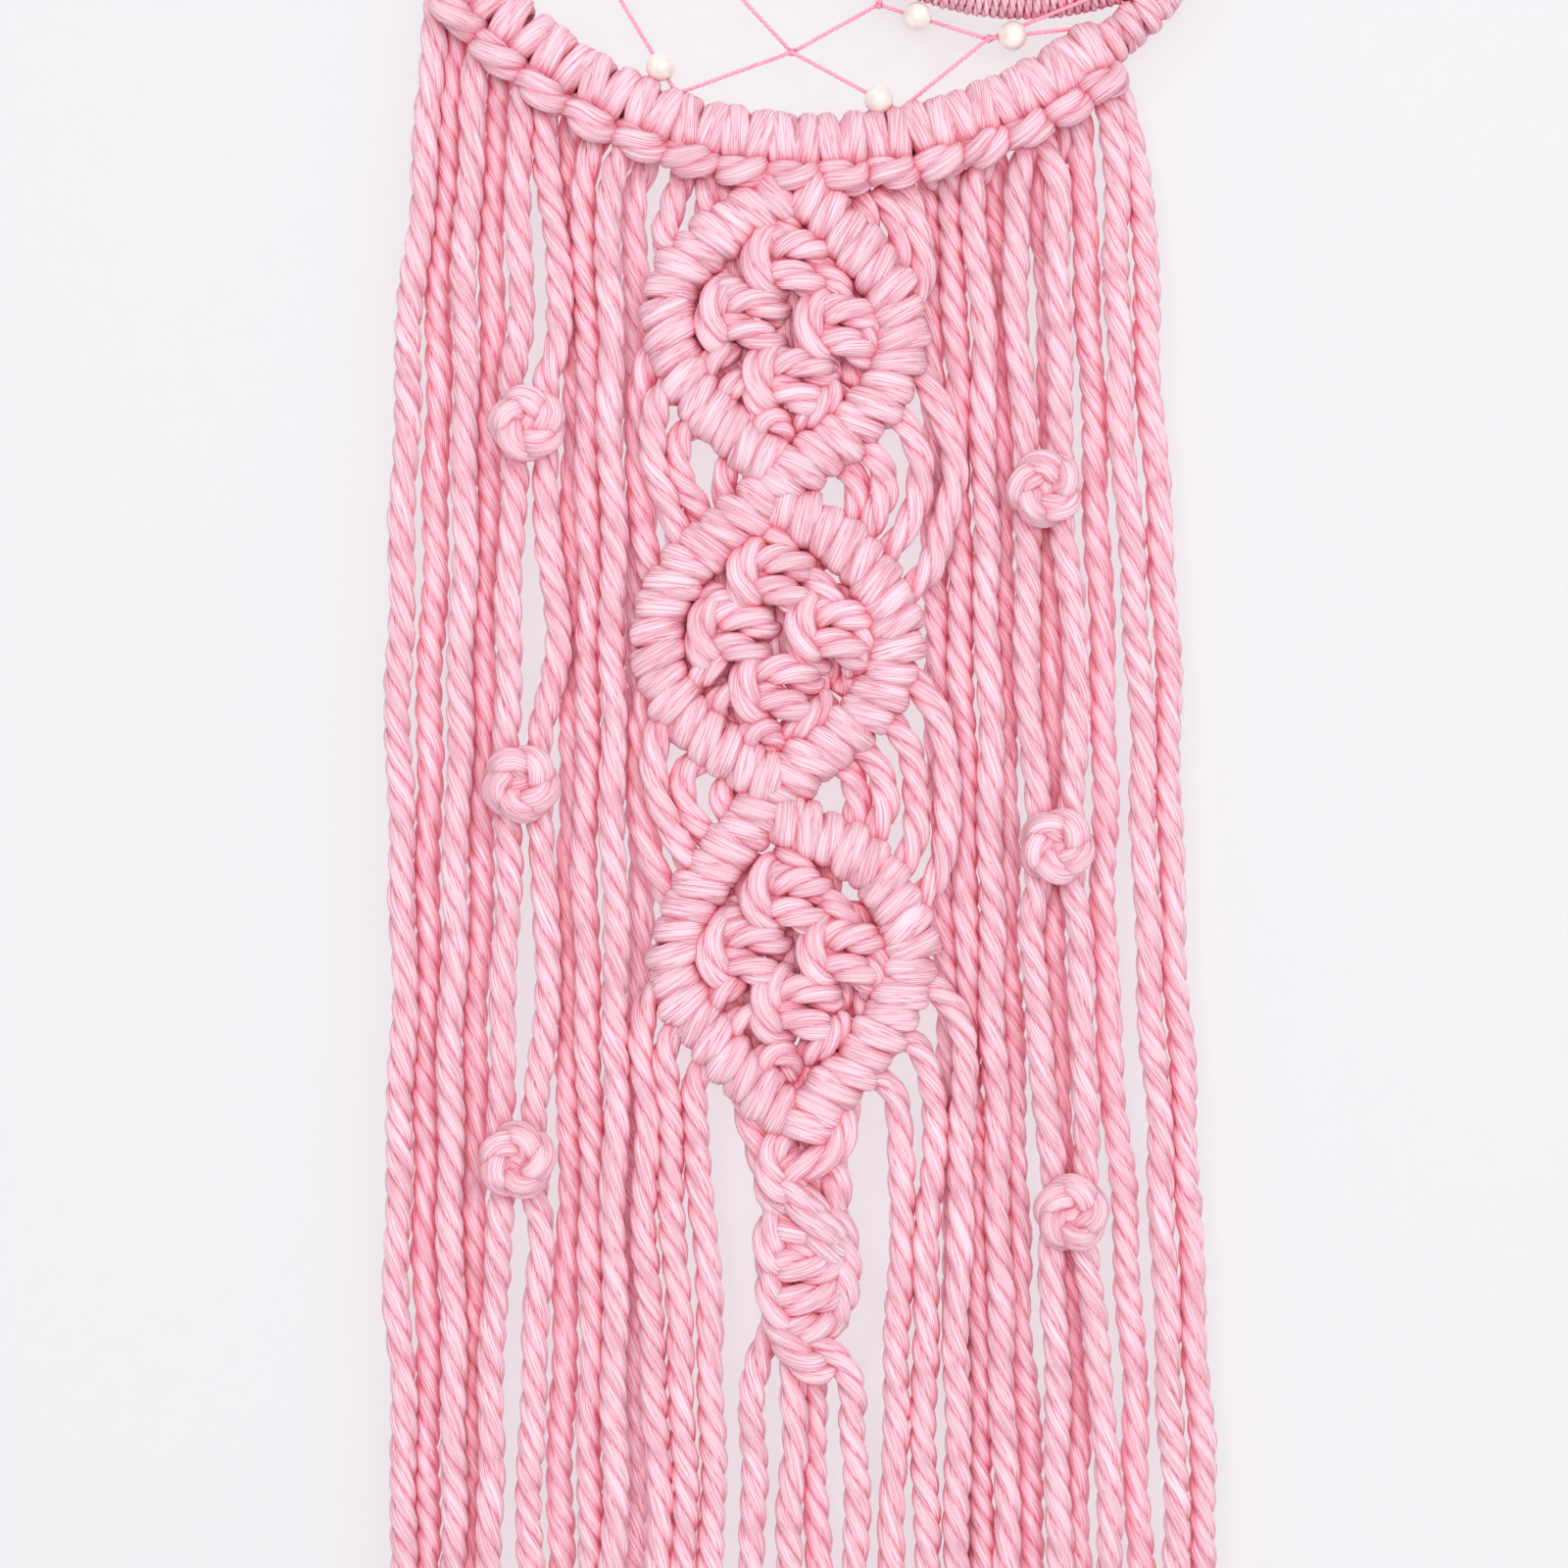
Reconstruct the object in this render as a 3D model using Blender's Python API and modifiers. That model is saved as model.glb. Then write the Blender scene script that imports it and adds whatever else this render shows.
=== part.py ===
"""Macrame wall hanging on a moon-shaped hoop.

Metres, +Z up, the front faces -Y and the wall is behind, at +Y. The origin is where the hook carries the
hanging loop. Tables are in millimetres: "right" is measured from the middle of the hoop, "back" towards the
wall and "drop" down from the middle of the hoop.
"""

import math

import bmesh
import bpy
import numpy as np
from mathutils import Matrix, Vector

MM = 0.001

# Driving sizes, in millimetres.
HOOP_R = 76.0  # the 15 cm outer hoop, to the middle of its ring
RING_R = 1.5  # the bare ring under the hitches
WRAPPED_R = 3.4  # the hoop with cord wound round it
MOON_R = 47.5  # the inner arc
MOON_WRAPPED_R = 3.1
MOON_RIGHT, MOON_DROP = 34.4, 3.6  # the inner arc's middle
LOOP_RISE = 60.0  # hanging point above the top of the hoop
CORD_R = 2.0
HITCH_PEAK, HITCH_VALLEY = 5.3, 4.5
HITCH_IN = 0.9  # the turns round the ring bulge towards the inside of the hoop
BAR_PEAK, BAR_VALLEY = 4.25, 3.45
BAR_PITCH = 6.0
GAP = 0.3
UNEVEN = 0.06
SAG = 0.5  # how far a straight stretch may cut across a cord's curve
THREAD_R = 0.42
PEARL_R = 2.5
PEARL_BORE_R = 0.86
TOTAL_DROP = 464.0  # lower end of the fringe
HOOP_Z = -(LOOP_RISE + HOOP_R) * MM

OUTER_ARC = (57.4, -251.0)  # degrees from straight down, positive to the right
BARE_ARC = (40.2, -52.6)
INNER_ARC = (31.5, -225.8)
HITCHES = 15
LEFT_HITCHES = (1, 2, 3, 4, 5)
PANEL_HITCHES = (6, 7, 8, 9, 10)
RIGHT_HITCHES = (11, 12, 13, 14, 15)

PINK = (0.915, 0.445, 0.540, 1.0)
THREAD_PINK = (0.880, 0.270, 0.400, 1.0)
PEARL_WHITE = (0.905, 0.860, 0.780, 1.0)

# Free strands: hitch, side of the hitch, back, then how far right at each level below.
LEVELS = (83.6, 105.0, 157.4, 209.9, 262.4, 313.2, TOTAL_DROP)
STRANDS = (
    (1, -1, 0.6, (-66.3, -68.2, -70.2, -69.5, -70.4, -69.5, -72.0)),
    (1, 1, 3.0, (-62.6, -63.6, -64.8, -65.8, -65.8, -65.8, -67.4)),
    (2, -1, 0.4, (-58.5, -59.2, -59.5, -61.2, -61.5, -61.0, -62.9)),
    (2, 1, 4.8, (-54.3, -55.1, -55.9, -57.2, -57.9, -58.2, -58.4)),
    (3, -1, 0.2, (-50.0, -50.2, -51.7, -52.2, -54.1, -54.8, -53.6)),
    (3, 1, 0.6, (-45.1, -43.3, -43.8, -44.9, -46.6, -48.4, -48.8)),
    (4, -1, 5.4, (-42.1, -40.8, -41.2, -41.8, -42.0, -43.5, -43.0)),
    (4, 1, 1.2, (-39.8, -38.5, -38.5, -38.9, -37.7, -38.5, -39.4)),
    (5, -1, -0.9, (-34.9, -34.7, -34.4, -34.0, -34.0, -34.3, -35.0)),
    (5, 1, 6.3, (-30.7, -30.7, -30.3, -30.0, -31.2, -30.8, -31.4)),
    (11, -1, 6.3, (18.8, 19.2, 20.0, 21.5, 23.0, 23.8, 24.0)),
    (11, 1, 3.6, (22.1, 23.1, 24.1, 25.1, 26.7, 27.6, 28.4)),
    (12, -1, 1.0, (25.8, 27.4, 28.4, 29.2, 30.2, 31.7, 32.8)),
    (12, 1, 5.6, (29.4, 30.3, 31.3, 32.0, 33.6, 35.9, 37.0)),
    (13, -1, 0.5, (33.0, 33.5, 34.6, 35.6, 36.7, 40.2, 41.6)),
    (13, 1, 0.0, (40.2, 40.2, 43.3, 43.6, 47.4, 49.0, 50.8)),
    (14, -1, 5.2, (37.6, 38.9, 39.2, 39.7, 42.0, 44.0, 46.0)),
    (14, 1, 3.0, (44.4, 45.4, 47.7, 48.2, 51.8, 54.1, 55.8)),
    (15, -1, 0.2, (49.9, 50.0, 53.3, 55.4, 57.9, 59.9, 61.2)),
    (15, 1, 1.6, (54.1, 55.1, 58.2, 59.7, 62.6, 64.6, 66.4)),
)

# Button knots: the hitch whose two strands tie it, how far right, drop.
BUTTONS = (
    (3, -48.4, 121.9),
    (3, -49.5, 182.0),
    (3, -50.3, 244.7),
    (13, 37.7, 132.8),
    (13, 39.7, 192.4),
    (13, 42.1, 253.5),
)
BUTTON_BACK = -1.8

# Hitched bars, as (right, drop) along the middle of each holding cord, from top to bottom.
BARS = (
    (-1.4, ((-5.6, 82.4), (-15.9, 89.7), (-23.7, 97.6), (-25.0, 105.0), (-20.8, 116.4), (-8.9, 128.1))),
    (
        -1.7,
        ((-2.4, 82.0), (6.2, 92.0), (12.5, 100.9), (13.7, 109.6), (8.6, 119.8), (-1.8, 128.2))
        + ((-13.8, 138.4), (-23.0, 146.9), (-26.9, 157.6), (-23.0, 169.8), (-8.6, 181.4)),
    ),
    (
        -1.5,
        ((-5.5, 135.3), (5.7, 143.4), (12.3, 153.0), (12.9, 160.4), (8.3, 169.8), (-1.8, 178.5))
        + ((-13.6, 191.2), (-21.0, 201.6), (-23.9, 213.0), (-18.9, 223.0), (-6.4, 236.4)),
    ),
    (-1.8, ((-5.2, 187.9), (7.4, 194.6), (13.8, 204.0), (15.4, 211.4), (10.3, 223.5), (-2.6, 238.8))),
)

# Square knots, as (right, drop) of each knot's middle: top, left, right and bottom of each diamond.
SQUARE_KNOTS = (
    ((-5.6, 95.4), (-13.4, 104.6), (2.8, 106.4), (-5.6, 115.1)),
    ((-8.2, 147.9), (-15.1, 157.4), (1.6, 156.8), (-7.8, 166.3)),
    ((-5.7, 201.4), (-13.2, 210.3), (3.5, 210.6), (-4.4, 219.3)),
)
# One square knot's three turns, as (right, back, up) from its middle.
KNOT_TURNS = (
    ((-1.6, -0.8, 4.4), (-4.0, -2.8, 0.2), (-1.8, -0.8, -4.4)),
    ((-3.2, -1.4, 0.6), (2.6, -3.0, 2.5), (6.6, -0.4, 1.8)),
    ((-3.0, -1.4, -0.8), (2.6, -3.0, -2.4), (6.8, -0.4, -4.2)),
)
KNOT_R = 2.2
# Filling cords inside a diamond run from bar to bar behind the knots. Each row is the bar's place, then the
# two knots passed (0 top, 1 left, 2 right, 3 bottom), then the far bar's place, as shares of the diamond.
FILLERS = (
    ((-0.42, 0.20), 0, 2, (0.90, 0.66)),
    ((-0.90, 0.42), 1, 3, (0.42, 0.88)),
    ((0.42, 0.22), 0, 1, (-0.92, 0.68)),
    ((0.92, 0.40), 2, 3, (-0.42, 0.86)),
)
# Each diamond's middle and half sizes: right, drop, half width, half height.
DIAMONDS = (
    (-5.6, 106.5, 19.0, 23.5),
    (-7.0, 158.3, 19.6, 23.6),
    (-4.3, 212.0, 19.4, 25.0),
)
FILLER_BACK = 0.6

# Working cords where they show, as (right, back, drop): from the hitches to the first diamond, as loops
# beside the next diamonds, and down from the last one. The lower end of a hanging one is at TOTAL_DROP.
WORKING = {
    "entry": (
        ((-22.6, 1.0, 80.0), (-24.8, 0.4, 86.5), (-25.6, -0.6, 91.5), (-22.4, -1.4, 96.0)),
        ((-18.2, 1.0, 80.6), (-18.6, 0.0, 85.5), (-17.8, -1.0, 90.6)),
        ((-14.8, 1.0, 81.6), (-14.6, -0.2, 85.0), (-13.2, -1.2, 88.4)),
        ((-10.6, 1.0, 82.0), (-10.8, -0.4, 84.6), (-10.4, -1.2, 86.8)),
        ((2.2, 1.0, 82.6), (3.2, -0.2, 86.0), (3.4, -1.2, 89.6)),
        ((6.6, 1.0, 82.6), (8.0, 0.0, 87.2), (8.0, -1.2, 92.8)),
        ((10.4, 1.0, 82.4), (13.0, 0.2, 87.6), (13.6, -0.6, 93.0), (11.4, -1.4, 98.4)),
        ((13.8, 0.6, 81.0), (16.4, 0.2, 89.0), (17.4, 0.0, 97.5), (13.6, -1.4, 103.6)),
    ),
    "first_loops": (
        ((-24.8, -1.2, 107.6), (-28.8, 0.4, 112.0), (-30.0, 1.6, 121.0), (-30.1, 1.6, 129.6))
        + ((-29.6, 1.2, 136.0), (-28.6, 0.0, 144.0), (-25.8, -1.4, 151.6)),
        ((-22.4, -1.5, 113.6), (-26.4, -2.2, 117.4), (-27.6, -2.3, 123.0), (-27.2, -2.3, 129.6))
        + ((-24.9, -2.2, 135.8), (-22.8, -1.8, 142.0), (-20.6, -1.5, 145.0)),
        ((-17.0, -1.5, 120.5), (-22.0, -1.0, 122.8), (-23.6, -0.8, 126.6), (-23.0, -0.8, 131.2))
        + ((-20.2, -1.0, 136.0), (-17.4, -1.5, 141.0)),
        ((-12.0, -1.5, 125.2), (-15.4, 0.2, 129.6), (-15.6, 0.2, 133.4), (-13.6, -1.5, 138.4)),
        ((1.4, -1.5, 125.8), (5.4, 0.2, 129.8), (6.7, 0.4, 133.5), (5.6, 0.2, 137.5), (2.4, -1.5, 141.2)),
        ((4.6, -1.5, 123.2), (9.2, -1.4, 127.0), (11.0, -1.4, 131.2), (10.2, -1.4, 135.8))
        + ((5.8, -1.5, 143.0),),
        ((10.2, -1.5, 118.0), (14.0, -1.2, 121.2), (16.8, -1.0, 126.4), (17.1, -1.0, 131.5))
        + ((15.8, -1.2, 137.0), (12.6, -1.4, 142.0), (9.0, -1.5, 146.6)),
        ((13.4, -1.6, 111.0), (17.6, -1.2, 114.2), (20.6, -0.8, 120.0), (22.6, -0.8, 126.5))
        + ((22.7, -0.8, 131.5), (20.8, -0.8, 139.0), (18.6, -1.0, 146.0), (12.2, -1.5, 152.2)),
    ),
    "second_loops": (
        ((-25.6, -1.5, 163.4), (-28.8, 0.2, 167.6), (-29.9, 1.6, 175.0), (-29.9, 1.6, 184.0))
        + ((-29.0, 1.2, 190.5), (-27.2, 0.0, 196.4), (-22.8, -1.5, 204.4)),
        ((-23.0, -1.5, 169.4), (-26.6, -2.1, 173.0), (-27.4, -2.3, 178.5), (-26.8, -2.3, 184.0))
        + ((-24.4, -2.1, 190.0), (-21.4, -1.7, 195.0), (-17.8, -1.5, 197.6)),
        ((-16.0, -1.5, 176.8), (-21.0, -1.0, 178.6), (-22.8, -0.8, 182.2), (-22.0, -0.8, 186.2))
        + ((-19.0, -1.0, 190.2), (-14.6, -1.5, 193.0)),
        ((-12.0, -1.5, 179.4), (-15.6, 0.2, 182.8), (-15.4, 0.2, 186.4), (-11.8, -1.5, 190.4)),
        ((0.6, -1.5, 176.0), (5.2, 0.2, 180.0), (6.6, 0.4, 184.6), (5.6, 0.2, 189.0), (2.4, -1.5, 192.6)),
        ((3.6, -1.5, 174.2), (8.6, -1.4, 177.4), (10.8, -1.4, 181.6), (11.0, -1.4, 186.6))
        + ((7.0, -1.5, 194.4),),
        ((8.8, -1.5, 169.2), (13.0, -1.2, 172.6), (15.6, -1.0, 177.4), (16.4, -1.0, 184.0))
        + ((16.4, -1.2, 189.6), (14.4, -1.3, 195.2), (10.2, -1.5, 198.6)),
        ((12.6, -1.5, 162.4), (17.0, -1.2, 166.0), (20.4, -0.8, 171.8), (21.4, -0.8, 180.0))
        + ((21.5, -0.8, 189.0), (20.0, -1.0, 197.0), (14.0, -1.5, 205.2)),
    ),
    "hanging": (
        ((-23.8, -1.4, 214.0), (-28.4, -0.6, 218.4), (-29.6, -0.4, 226.0), (-28.6, -0.8, 240.0))
        + ((-28.7, -0.8, 262.4), (-26.6, -0.8, 313.2), (-27.2, -0.8, TOTAL_DROP)),
        ((-20.6, -1.4, 220.8), (-25.0, -1.0, 224.8), (-25.6, -0.8, 231.0), (-24.6, -0.8, 242.0))
        + ((-23.9, -0.6, 262.4), (-22.4, -0.6, 313.2), (-22.9, -0.6, TOTAL_DROP)),
        ((-15.6, -1.4, 227.0), (-20.2, -0.8, 230.4), (-20.8, -0.6, 235.4), (-19.8, -0.4, 246.0))
        + ((-18.7, 0.0, 262.4), (-17.7, 0.0, 313.2), (-18.2, 0.0, TOTAL_DROP)),
        ((6.0, -1.4, 229.4), (11.0, -0.8, 231.6), (13.4, -0.4, 235.6), (14.2, 0.0, 244.0))
        + ((13.6, 0.0, 262.4), (12.6, 0.0, 313.2), (12.9, 0.0, TOTAL_DROP)),
        ((10.8, -1.4, 223.0), (16.0, -0.8, 225.2), (18.6, -0.6, 230.0), (19.4, -0.4, 240.0))
        + ((18.0, -0.2, 262.4), (18.0, 0.0, 313.2), (18.4, 0.0, TOTAL_DROP)),
        ((15.0, -1.6, 214.0), (20.6, -1.2, 217.2), (23.4, -1.0, 222.0), (24.2, -0.8, 233.0))
        + ((23.5, -0.8, 262.4), (23.1, -0.8, 313.2), (23.6, -0.8, TOTAL_DROP)),
    ),
    "spiral": (
        ((-10.6, -1.6, 232.6), (-12.2, -1.4, 238.0), (-10.2, -1.6, 243.6), (-8.6, -1.4, 250.0))
        + ((-5.6, -0.4, 254.0),),
        ((4.4, -1.6, 231.6), (5.8, -1.4, 236.6), (4.6, -2.4, 241.2), (-1.0, -3.4, 243.6))
        + ((-6.6, -2.6, 244.9),),
        ((-6.9, -2.6, 247.6), (-3.0, -3.6, 253.1), (2.6, -3.2, 259.6), (4.2, -1.4, 262.0)),
        ((-7.8, -1.6, 256.4), (-1.6, -2.6, 258.8), (1.6, -1.6, 260.6)),
        ((-9.4, -1.0, 260.6), (-3.0, -3.2, 262.6), (4.6, -2.0, 261.7)),
        ((-8.4, -1.4, 265.2), (-2.0, -3.4, 267.2), (4.8, -1.8, 265.0)),
        ((1.4, -0.8, 251.0), (4.9, -1.2, 257.3), (6.3, -1.2, 263.5), (4.9, -1.2, 267.8), (1.6, -1.4, 270.4)),
        ((-8.4, -0.8, 256.8), (-10.0, -0.6, 262.6), (-8.4, -0.8, 268.4), (-6.0, -1.4, 272.0)),
        ((-7.0, -1.8, 270.6), (-3.6, -3.0, 277.0), (0.4, -1.6, 279.6)),
    ),
    "tails": (
        ((-6.0, 0.6, 270.0), (-9.6, 0.8, 277.6), (-11.2, 0.8, 285.6), (-11.1, 0.6, 294.0))
        + ((-10.7, 0.4, 313.2), (-11.2, 0.4, TOTAL_DROP)),
        ((-4.0, -1.0, 274.0), (-4.2, -0.2, 284.0), (-4.0, 0.0, 294.0), (-4.5, 0.0, 313.2))
        + ((-4.8, 0.0, TOTAL_DROP),),
        ((-2.2, 1.6, 272.0), (-0.8, 3.0, 284.0), (-0.5, 3.0, 294.0), (-0.2, 3.0, 313.2))
        + ((0.0, 3.0, TOTAL_DROP),),
        ((-3.0, -1.6, 273.6), (2.8, -1.6, 277.4), (6.4, -0.6, 282.0), (6.0, 0.0, 288.0), (5.2, 0.0, 296.0))
        + ((6.2, 0.0, 313.2), (6.4, 0.0, TOTAL_DROP)),
    ),
}
SPIRAL_CORE = (
    (-3.4, 0.4, 236.0),
    (-2.0, 0.4, 246.0),
    (-1.8, 0.2, 258.0),
    (-1.8, 0.2, 268.0),
    (-3.0, 0.0, 276.0),
)
SPIRAL_CORE_R = 3.3

# The web: spokes every SPOKE degrees, rows of half-pitch nodes ROW_STEP apart.
WEB_FIRST, SPOKE, WEB_SPOKES = 41.5, 30.5, 10
ROW_STEP, FULL_WIDTH, WEB_ROWS = 10.4, 32.0, 4
WEB_EDGE = 5.7  # the rows are measured from this far inside the hoop's ring
WEB_BACK = -1.0
# Pearls: the thread's two nodes as (row, column), and how far along it the pearl sits.
PEARLS = (
    ((0, 0), (1, 0), 0.80),
    ((0, 1), (1, 1), 0.19),
    ((1, 0), (2, 0), 0.65),
    ((0, 2), (1, 2), 0.26),
    ((2, 2), (3, 2), 0.50),
    ((0, 4), (1, 4), 0.40),
    ((1, 3), (2, 3), 0.45),
    ((3, 3), (4, 3), 0.50),
    ((0, 6), (1, 5), 0.35),
    ((2, 5), (3, 4), 0.50),
    ((0, 8), (1, 8), 0.40),
    ((1, 6), (2, 6), 0.50),
)

# Half of the hanging loop, as (right, up from the hanging point).
LOOP_SIDE = ((2.2, -54.5), (3.6, -48.0), (7.8, -33.0), (9.2, -17.0), (7.4, -5.0), (3.9, 0.8), (0.0, CORD_R))


def place(right, back, drop):
    """A point given from the middle of the hoop, in metres."""
    return Vector((right * MM, back * MM, HOOP_Z - drop * MM))


def on_hoop(angle, out=0.0, back=0.0):
    """A point beside the hoop's ring, out from its middle line."""
    turn = math.radians(angle)
    reach = HOOP_R + out
    return place(reach * math.sin(turn), back, reach * math.cos(turn))


def hitch_angle(number):
    """The hitches are pushed closer together towards the right."""
    step = number - (HITCHES + 1) / 2
    return -3.0 + 6.04 * step - 0.063 * step * step


def smooth(points, most):
    """Evenly spaced points, at most so far apart, on a round curve through the given ones."""
    given = np.array([tuple(p) for p in points])
    ends = np.vstack([2 * given[0] - given[1], given, 2 * given[-1] - given[-2]])
    dense = []
    for a, b, c, d in zip(ends, ends[1:], ends[2:], ends[3:]):
        square, cube = 2 * a - 5 * b + 4 * c - d, 3 * b - a - 3 * c + d
        for t in np.linspace(0, 1, 24, endpoint=False):
            dense.append(b + 0.5 * ((c - a) * t + square * t**2 + cube * t**3))
    dense = np.array(dense + [given[-1]])
    along = np.concatenate([[0], np.cumsum(np.linalg.norm(np.diff(dense, axis=0), axis=1))])
    count = max(2, math.ceil(along[-1] / most) + 1)
    wanted = np.linspace(0, along[-1], count)
    return [Vector([np.interp(w, along, dense[:, k]) for k in range(3)]) for w in wanted]


def material(name, colour, roughness):
    made = bpy.data.materials.new(name)
    made.use_nodes = True
    shader = made.node_tree.nodes["Principled BSDF"]
    shader.inputs["Base Color"].default_value = colour
    shader.inputs["Roughness"].default_value = roughness
    shader.inputs["Metallic"].default_value = 0.0
    made.diffuse_color = colour
    return made


def add_object(name, mesh, collection):
    made = bpy.data.objects.new(name, mesh)
    collection.objects.link(made)
    return made


def tube(points, radii, sides=6, closed=False):
    """A capped round tube through the points. Radii are in millimetres: one, or one for each point."""
    curve = bpy.data.curves.new("tube", "CURVE")
    curve.dimensions = "3D"
    curve.bevel_depth = MM
    curve.bevel_resolution = (sides - 4) // 2
    curve.use_fill_caps = True
    spline = curve.splines.new("POLY")
    spline.points.add(len(points) - 1)
    sizes = radii if hasattr(radii, "__len__") else [radii] * len(points)
    for point, where, size in zip(spline.points, points, sizes):
        point.co = (*where, 1.0)
        point.radius = size
    spline.use_cyclic_u = closed
    holder = add_object("tube", curve, bpy.context.scene.collection)
    graph = bpy.context.evaluated_depsgraph_get()
    mesh = bpy.data.meshes.new_from_object(holder.evaluated_get(graph))
    bpy.data.objects.remove(holder)
    bpy.data.curves.remove(curve)
    return weld(mesh)


def weld(mesh):
    work = bmesh.new()
    work.from_mesh(mesh)
    bmesh.ops.remove_doubles(work, verts=work.verts, dist=1e-6)
    bmesh.ops.recalc_face_normals(work, faces=work.faces)
    work.to_mesh(mesh)
    work.free()
    return mesh


def lobe(middle, halves, tilt=0.0, around=6, down=4):
    """A rounded lump with its three half sizes in millimetres, turned about Y by tilt degrees."""
    mesh = bpy.data.meshes.new("lobe")
    work = bmesh.new()
    shape = Matrix.Translation(middle) @ Matrix.Rotation(math.radians(tilt), 4, "Y")
    shape = shape @ Matrix.Diagonal((*(h * MM for h in halves), 1.0))
    bmesh.ops.create_uvsphere(work, u_segments=around, v_segments=down, radius=1.0, matrix=shape)
    work.to_mesh(mesh)
    work.free()
    return mesh


def unevenly(meshes, start=0):
    """The cords lie a few hundredths of a millimetre off each other, so that no two faces coincide."""
    for k, mesh in enumerate(meshes, start):
        off = Vector((math.sin(2.1 * k + 0.4), math.sin(1.3 * k), math.cos(1.7 * k))) * UNEVEN * MM
        mesh.transform(Matrix.Translation(off))
    return meshes


def join_solids(name, meshes, finish, cut=None, kept=1.0):
    """One closed solid from overlapping meshes, less the cutter, with that share of its triangles kept."""
    base = add_object(name, meshes[0], PIECES)
    tools = bpy.data.collections.new(name + "_joined")
    bpy.context.scene.collection.children.link(tools)
    for mesh in meshes[1:]:
        helper = add_object(name + "_tool", mesh, tools)
        helper.hide_render = True
        helper.display_type = "WIRE"
    if len(meshes) > 1:
        union = base.modifiers.new("join", "BOOLEAN")
        union.operation = "UNION"
        union.operand_type = "COLLECTION"
        union.collection = tools
        union.solver = "EXACT"
    if cut is not None:
        cutter = add_object(name + "_cutter", cut, CUTTERS)
        cutter.hide_render = True
        cutter.display_type = "WIRE"
        bore = base.modifiers.new("bore", "BOOLEAN")
        bore.operation = "DIFFERENCE"
        bore.object = cutter
        bore.solver = "EXACT"
    graph = bpy.context.evaluated_depsgraph_get()
    solid = bpy.data.meshes.new_from_object(base.evaluated_get(graph))
    base.modifiers.clear()
    base.data = without_cavities(solid)
    if kept < 1.0:
        thin = base.modifiers.new("thin", "DECIMATE")
        thin.ratio = kept
    for helper in list(tools.objects) + list(CUTTERS.objects):
        bpy.data.objects.remove(helper)
    bpy.data.collections.remove(tools)
    base.data.materials.clear()
    base.data.materials.append(finish)
    base.data.shade_smooth()
    return base


def without_cavities(mesh):
    """The mesh less the small hollows that lie sealed between crossing cords."""
    work = bmesh.new()
    work.from_mesh(mesh)
    left = set(work.faces)
    while left:
        island = [left.pop()]
        for face in island:
            for edge in face.edges:
                near = [other for other in edge.link_faces if other in left]
                left.difference_update(near)
                island.extend(near)
        volume = 0.0
        for face in island:
            corners = [loop.vert.co for loop in face.loops]
            for b, c in zip(corners[1:], corners[2:]):
                volume += corners[0].dot(b.cross(c)) / 6
        if volume <= 0.0:
            bmesh.ops.delete(work, geom=island, context="FACES")
    work.to_mesh(mesh)
    work.free()
    return mesh


def hoop_stretch(first, last, step):
    """Points along the outer hoop's middle line, from one angle to another."""
    count = max(1, round(abs(last - first) / step))
    return [first + (last - first) * k / count for k in range(count + 1)]


def outer_hoop():
    """The outer ring, bare under the hitches and wound with cord elsewhere."""
    right_part = hoop_stretch(OUTER_ARC[0], BARE_ARC[0] + 1.0, 9)
    bare_part = hoop_stretch(BARE_ARC[0], BARE_ARC[1], 6)
    left_part = hoop_stretch(BARE_ARC[1] - 1.0, OUTER_ARC[1], 9)
    angles = right_part + bare_part + left_part
    sizes = [WRAPPED_R] * len(right_part) + [RING_R] * len(bare_part) + [WRAPPED_R] * len(left_part)
    return join_solids("outer_hoop", [tube([on_hoop(a) for a in angles], sizes, 8)], COTTON)


def inner_hoop():
    """The wound inner arc, its two ends shaped to lie against the outer hoop."""
    angles = hoop_stretch(INNER_ARC[0], INNER_ARC[1], 12)
    cutter_angles = hoop_stretch(OUTER_ARC[0] + 6.0, OUTER_ARC[1] - 6.0, 9)
    cutter = tube([on_hoop(a) for a in cutter_angles], WRAPPED_R + GAP + 0.4, 8)
    return join_solids("inner_hoop", [tube([on_moon(a) for a in angles], MOON_WRAPPED_R, 8)], COTTON, cutter)


def on_moon(angle, out=0.0, back=0.0):
    turn = math.radians(angle)
    reach = MOON_R + out
    return place(MOON_RIGHT + reach * math.sin(turn), back, MOON_DROP + reach * math.cos(turn))


def hitch_row(first, last):
    """The two ridged turns of each lark's head round the ring, from one hitch to another, as one tube."""
    trim = math.degrees((GAP / 2 + 2 * UNEVEN) / (HOOP_R - HITCH_IN - HITCH_PEAK))
    start, end = hitch_angle(first - 0.5) + trim, hitch_angle(last + 0.5) - trim
    turns = 2 * (last - first + 1)
    angles = [start + (end - start) * k / (2 * turns) for k in range(2 * turns + 1)]
    sizes = [HITCH_PEAK if k % 2 else HITCH_VALLEY for k in range(len(angles))]
    return tube([on_hoop(a, -HITCH_IN) for a in angles], sizes, 8)


def ring_bore(first, last, radius, reach=1.5):
    angles = hoop_stretch(first - reach, last + reach, 5)
    return tube([on_hoop(a) for a in angles], radius, 8)


def hitch_bore(first, last):
    return ring_bore(hitch_angle(first - 0.5), hitch_angle(last + 0.5), RING_R + 0.65)


def collar(number):
    """The bight across the front, just under the ring."""
    angle = hitch_angle(number)
    half = (hitch_angle(number + 0.5) - hitch_angle(number - 0.5)) / 2
    width = math.radians(half) * (HOOP_R + 4.0) - GAP / 2 - UNEVEN
    return lobe(on_hoop(angle, 5.1, -2.6), (width, 2.5, 2.7), -angle)


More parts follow.
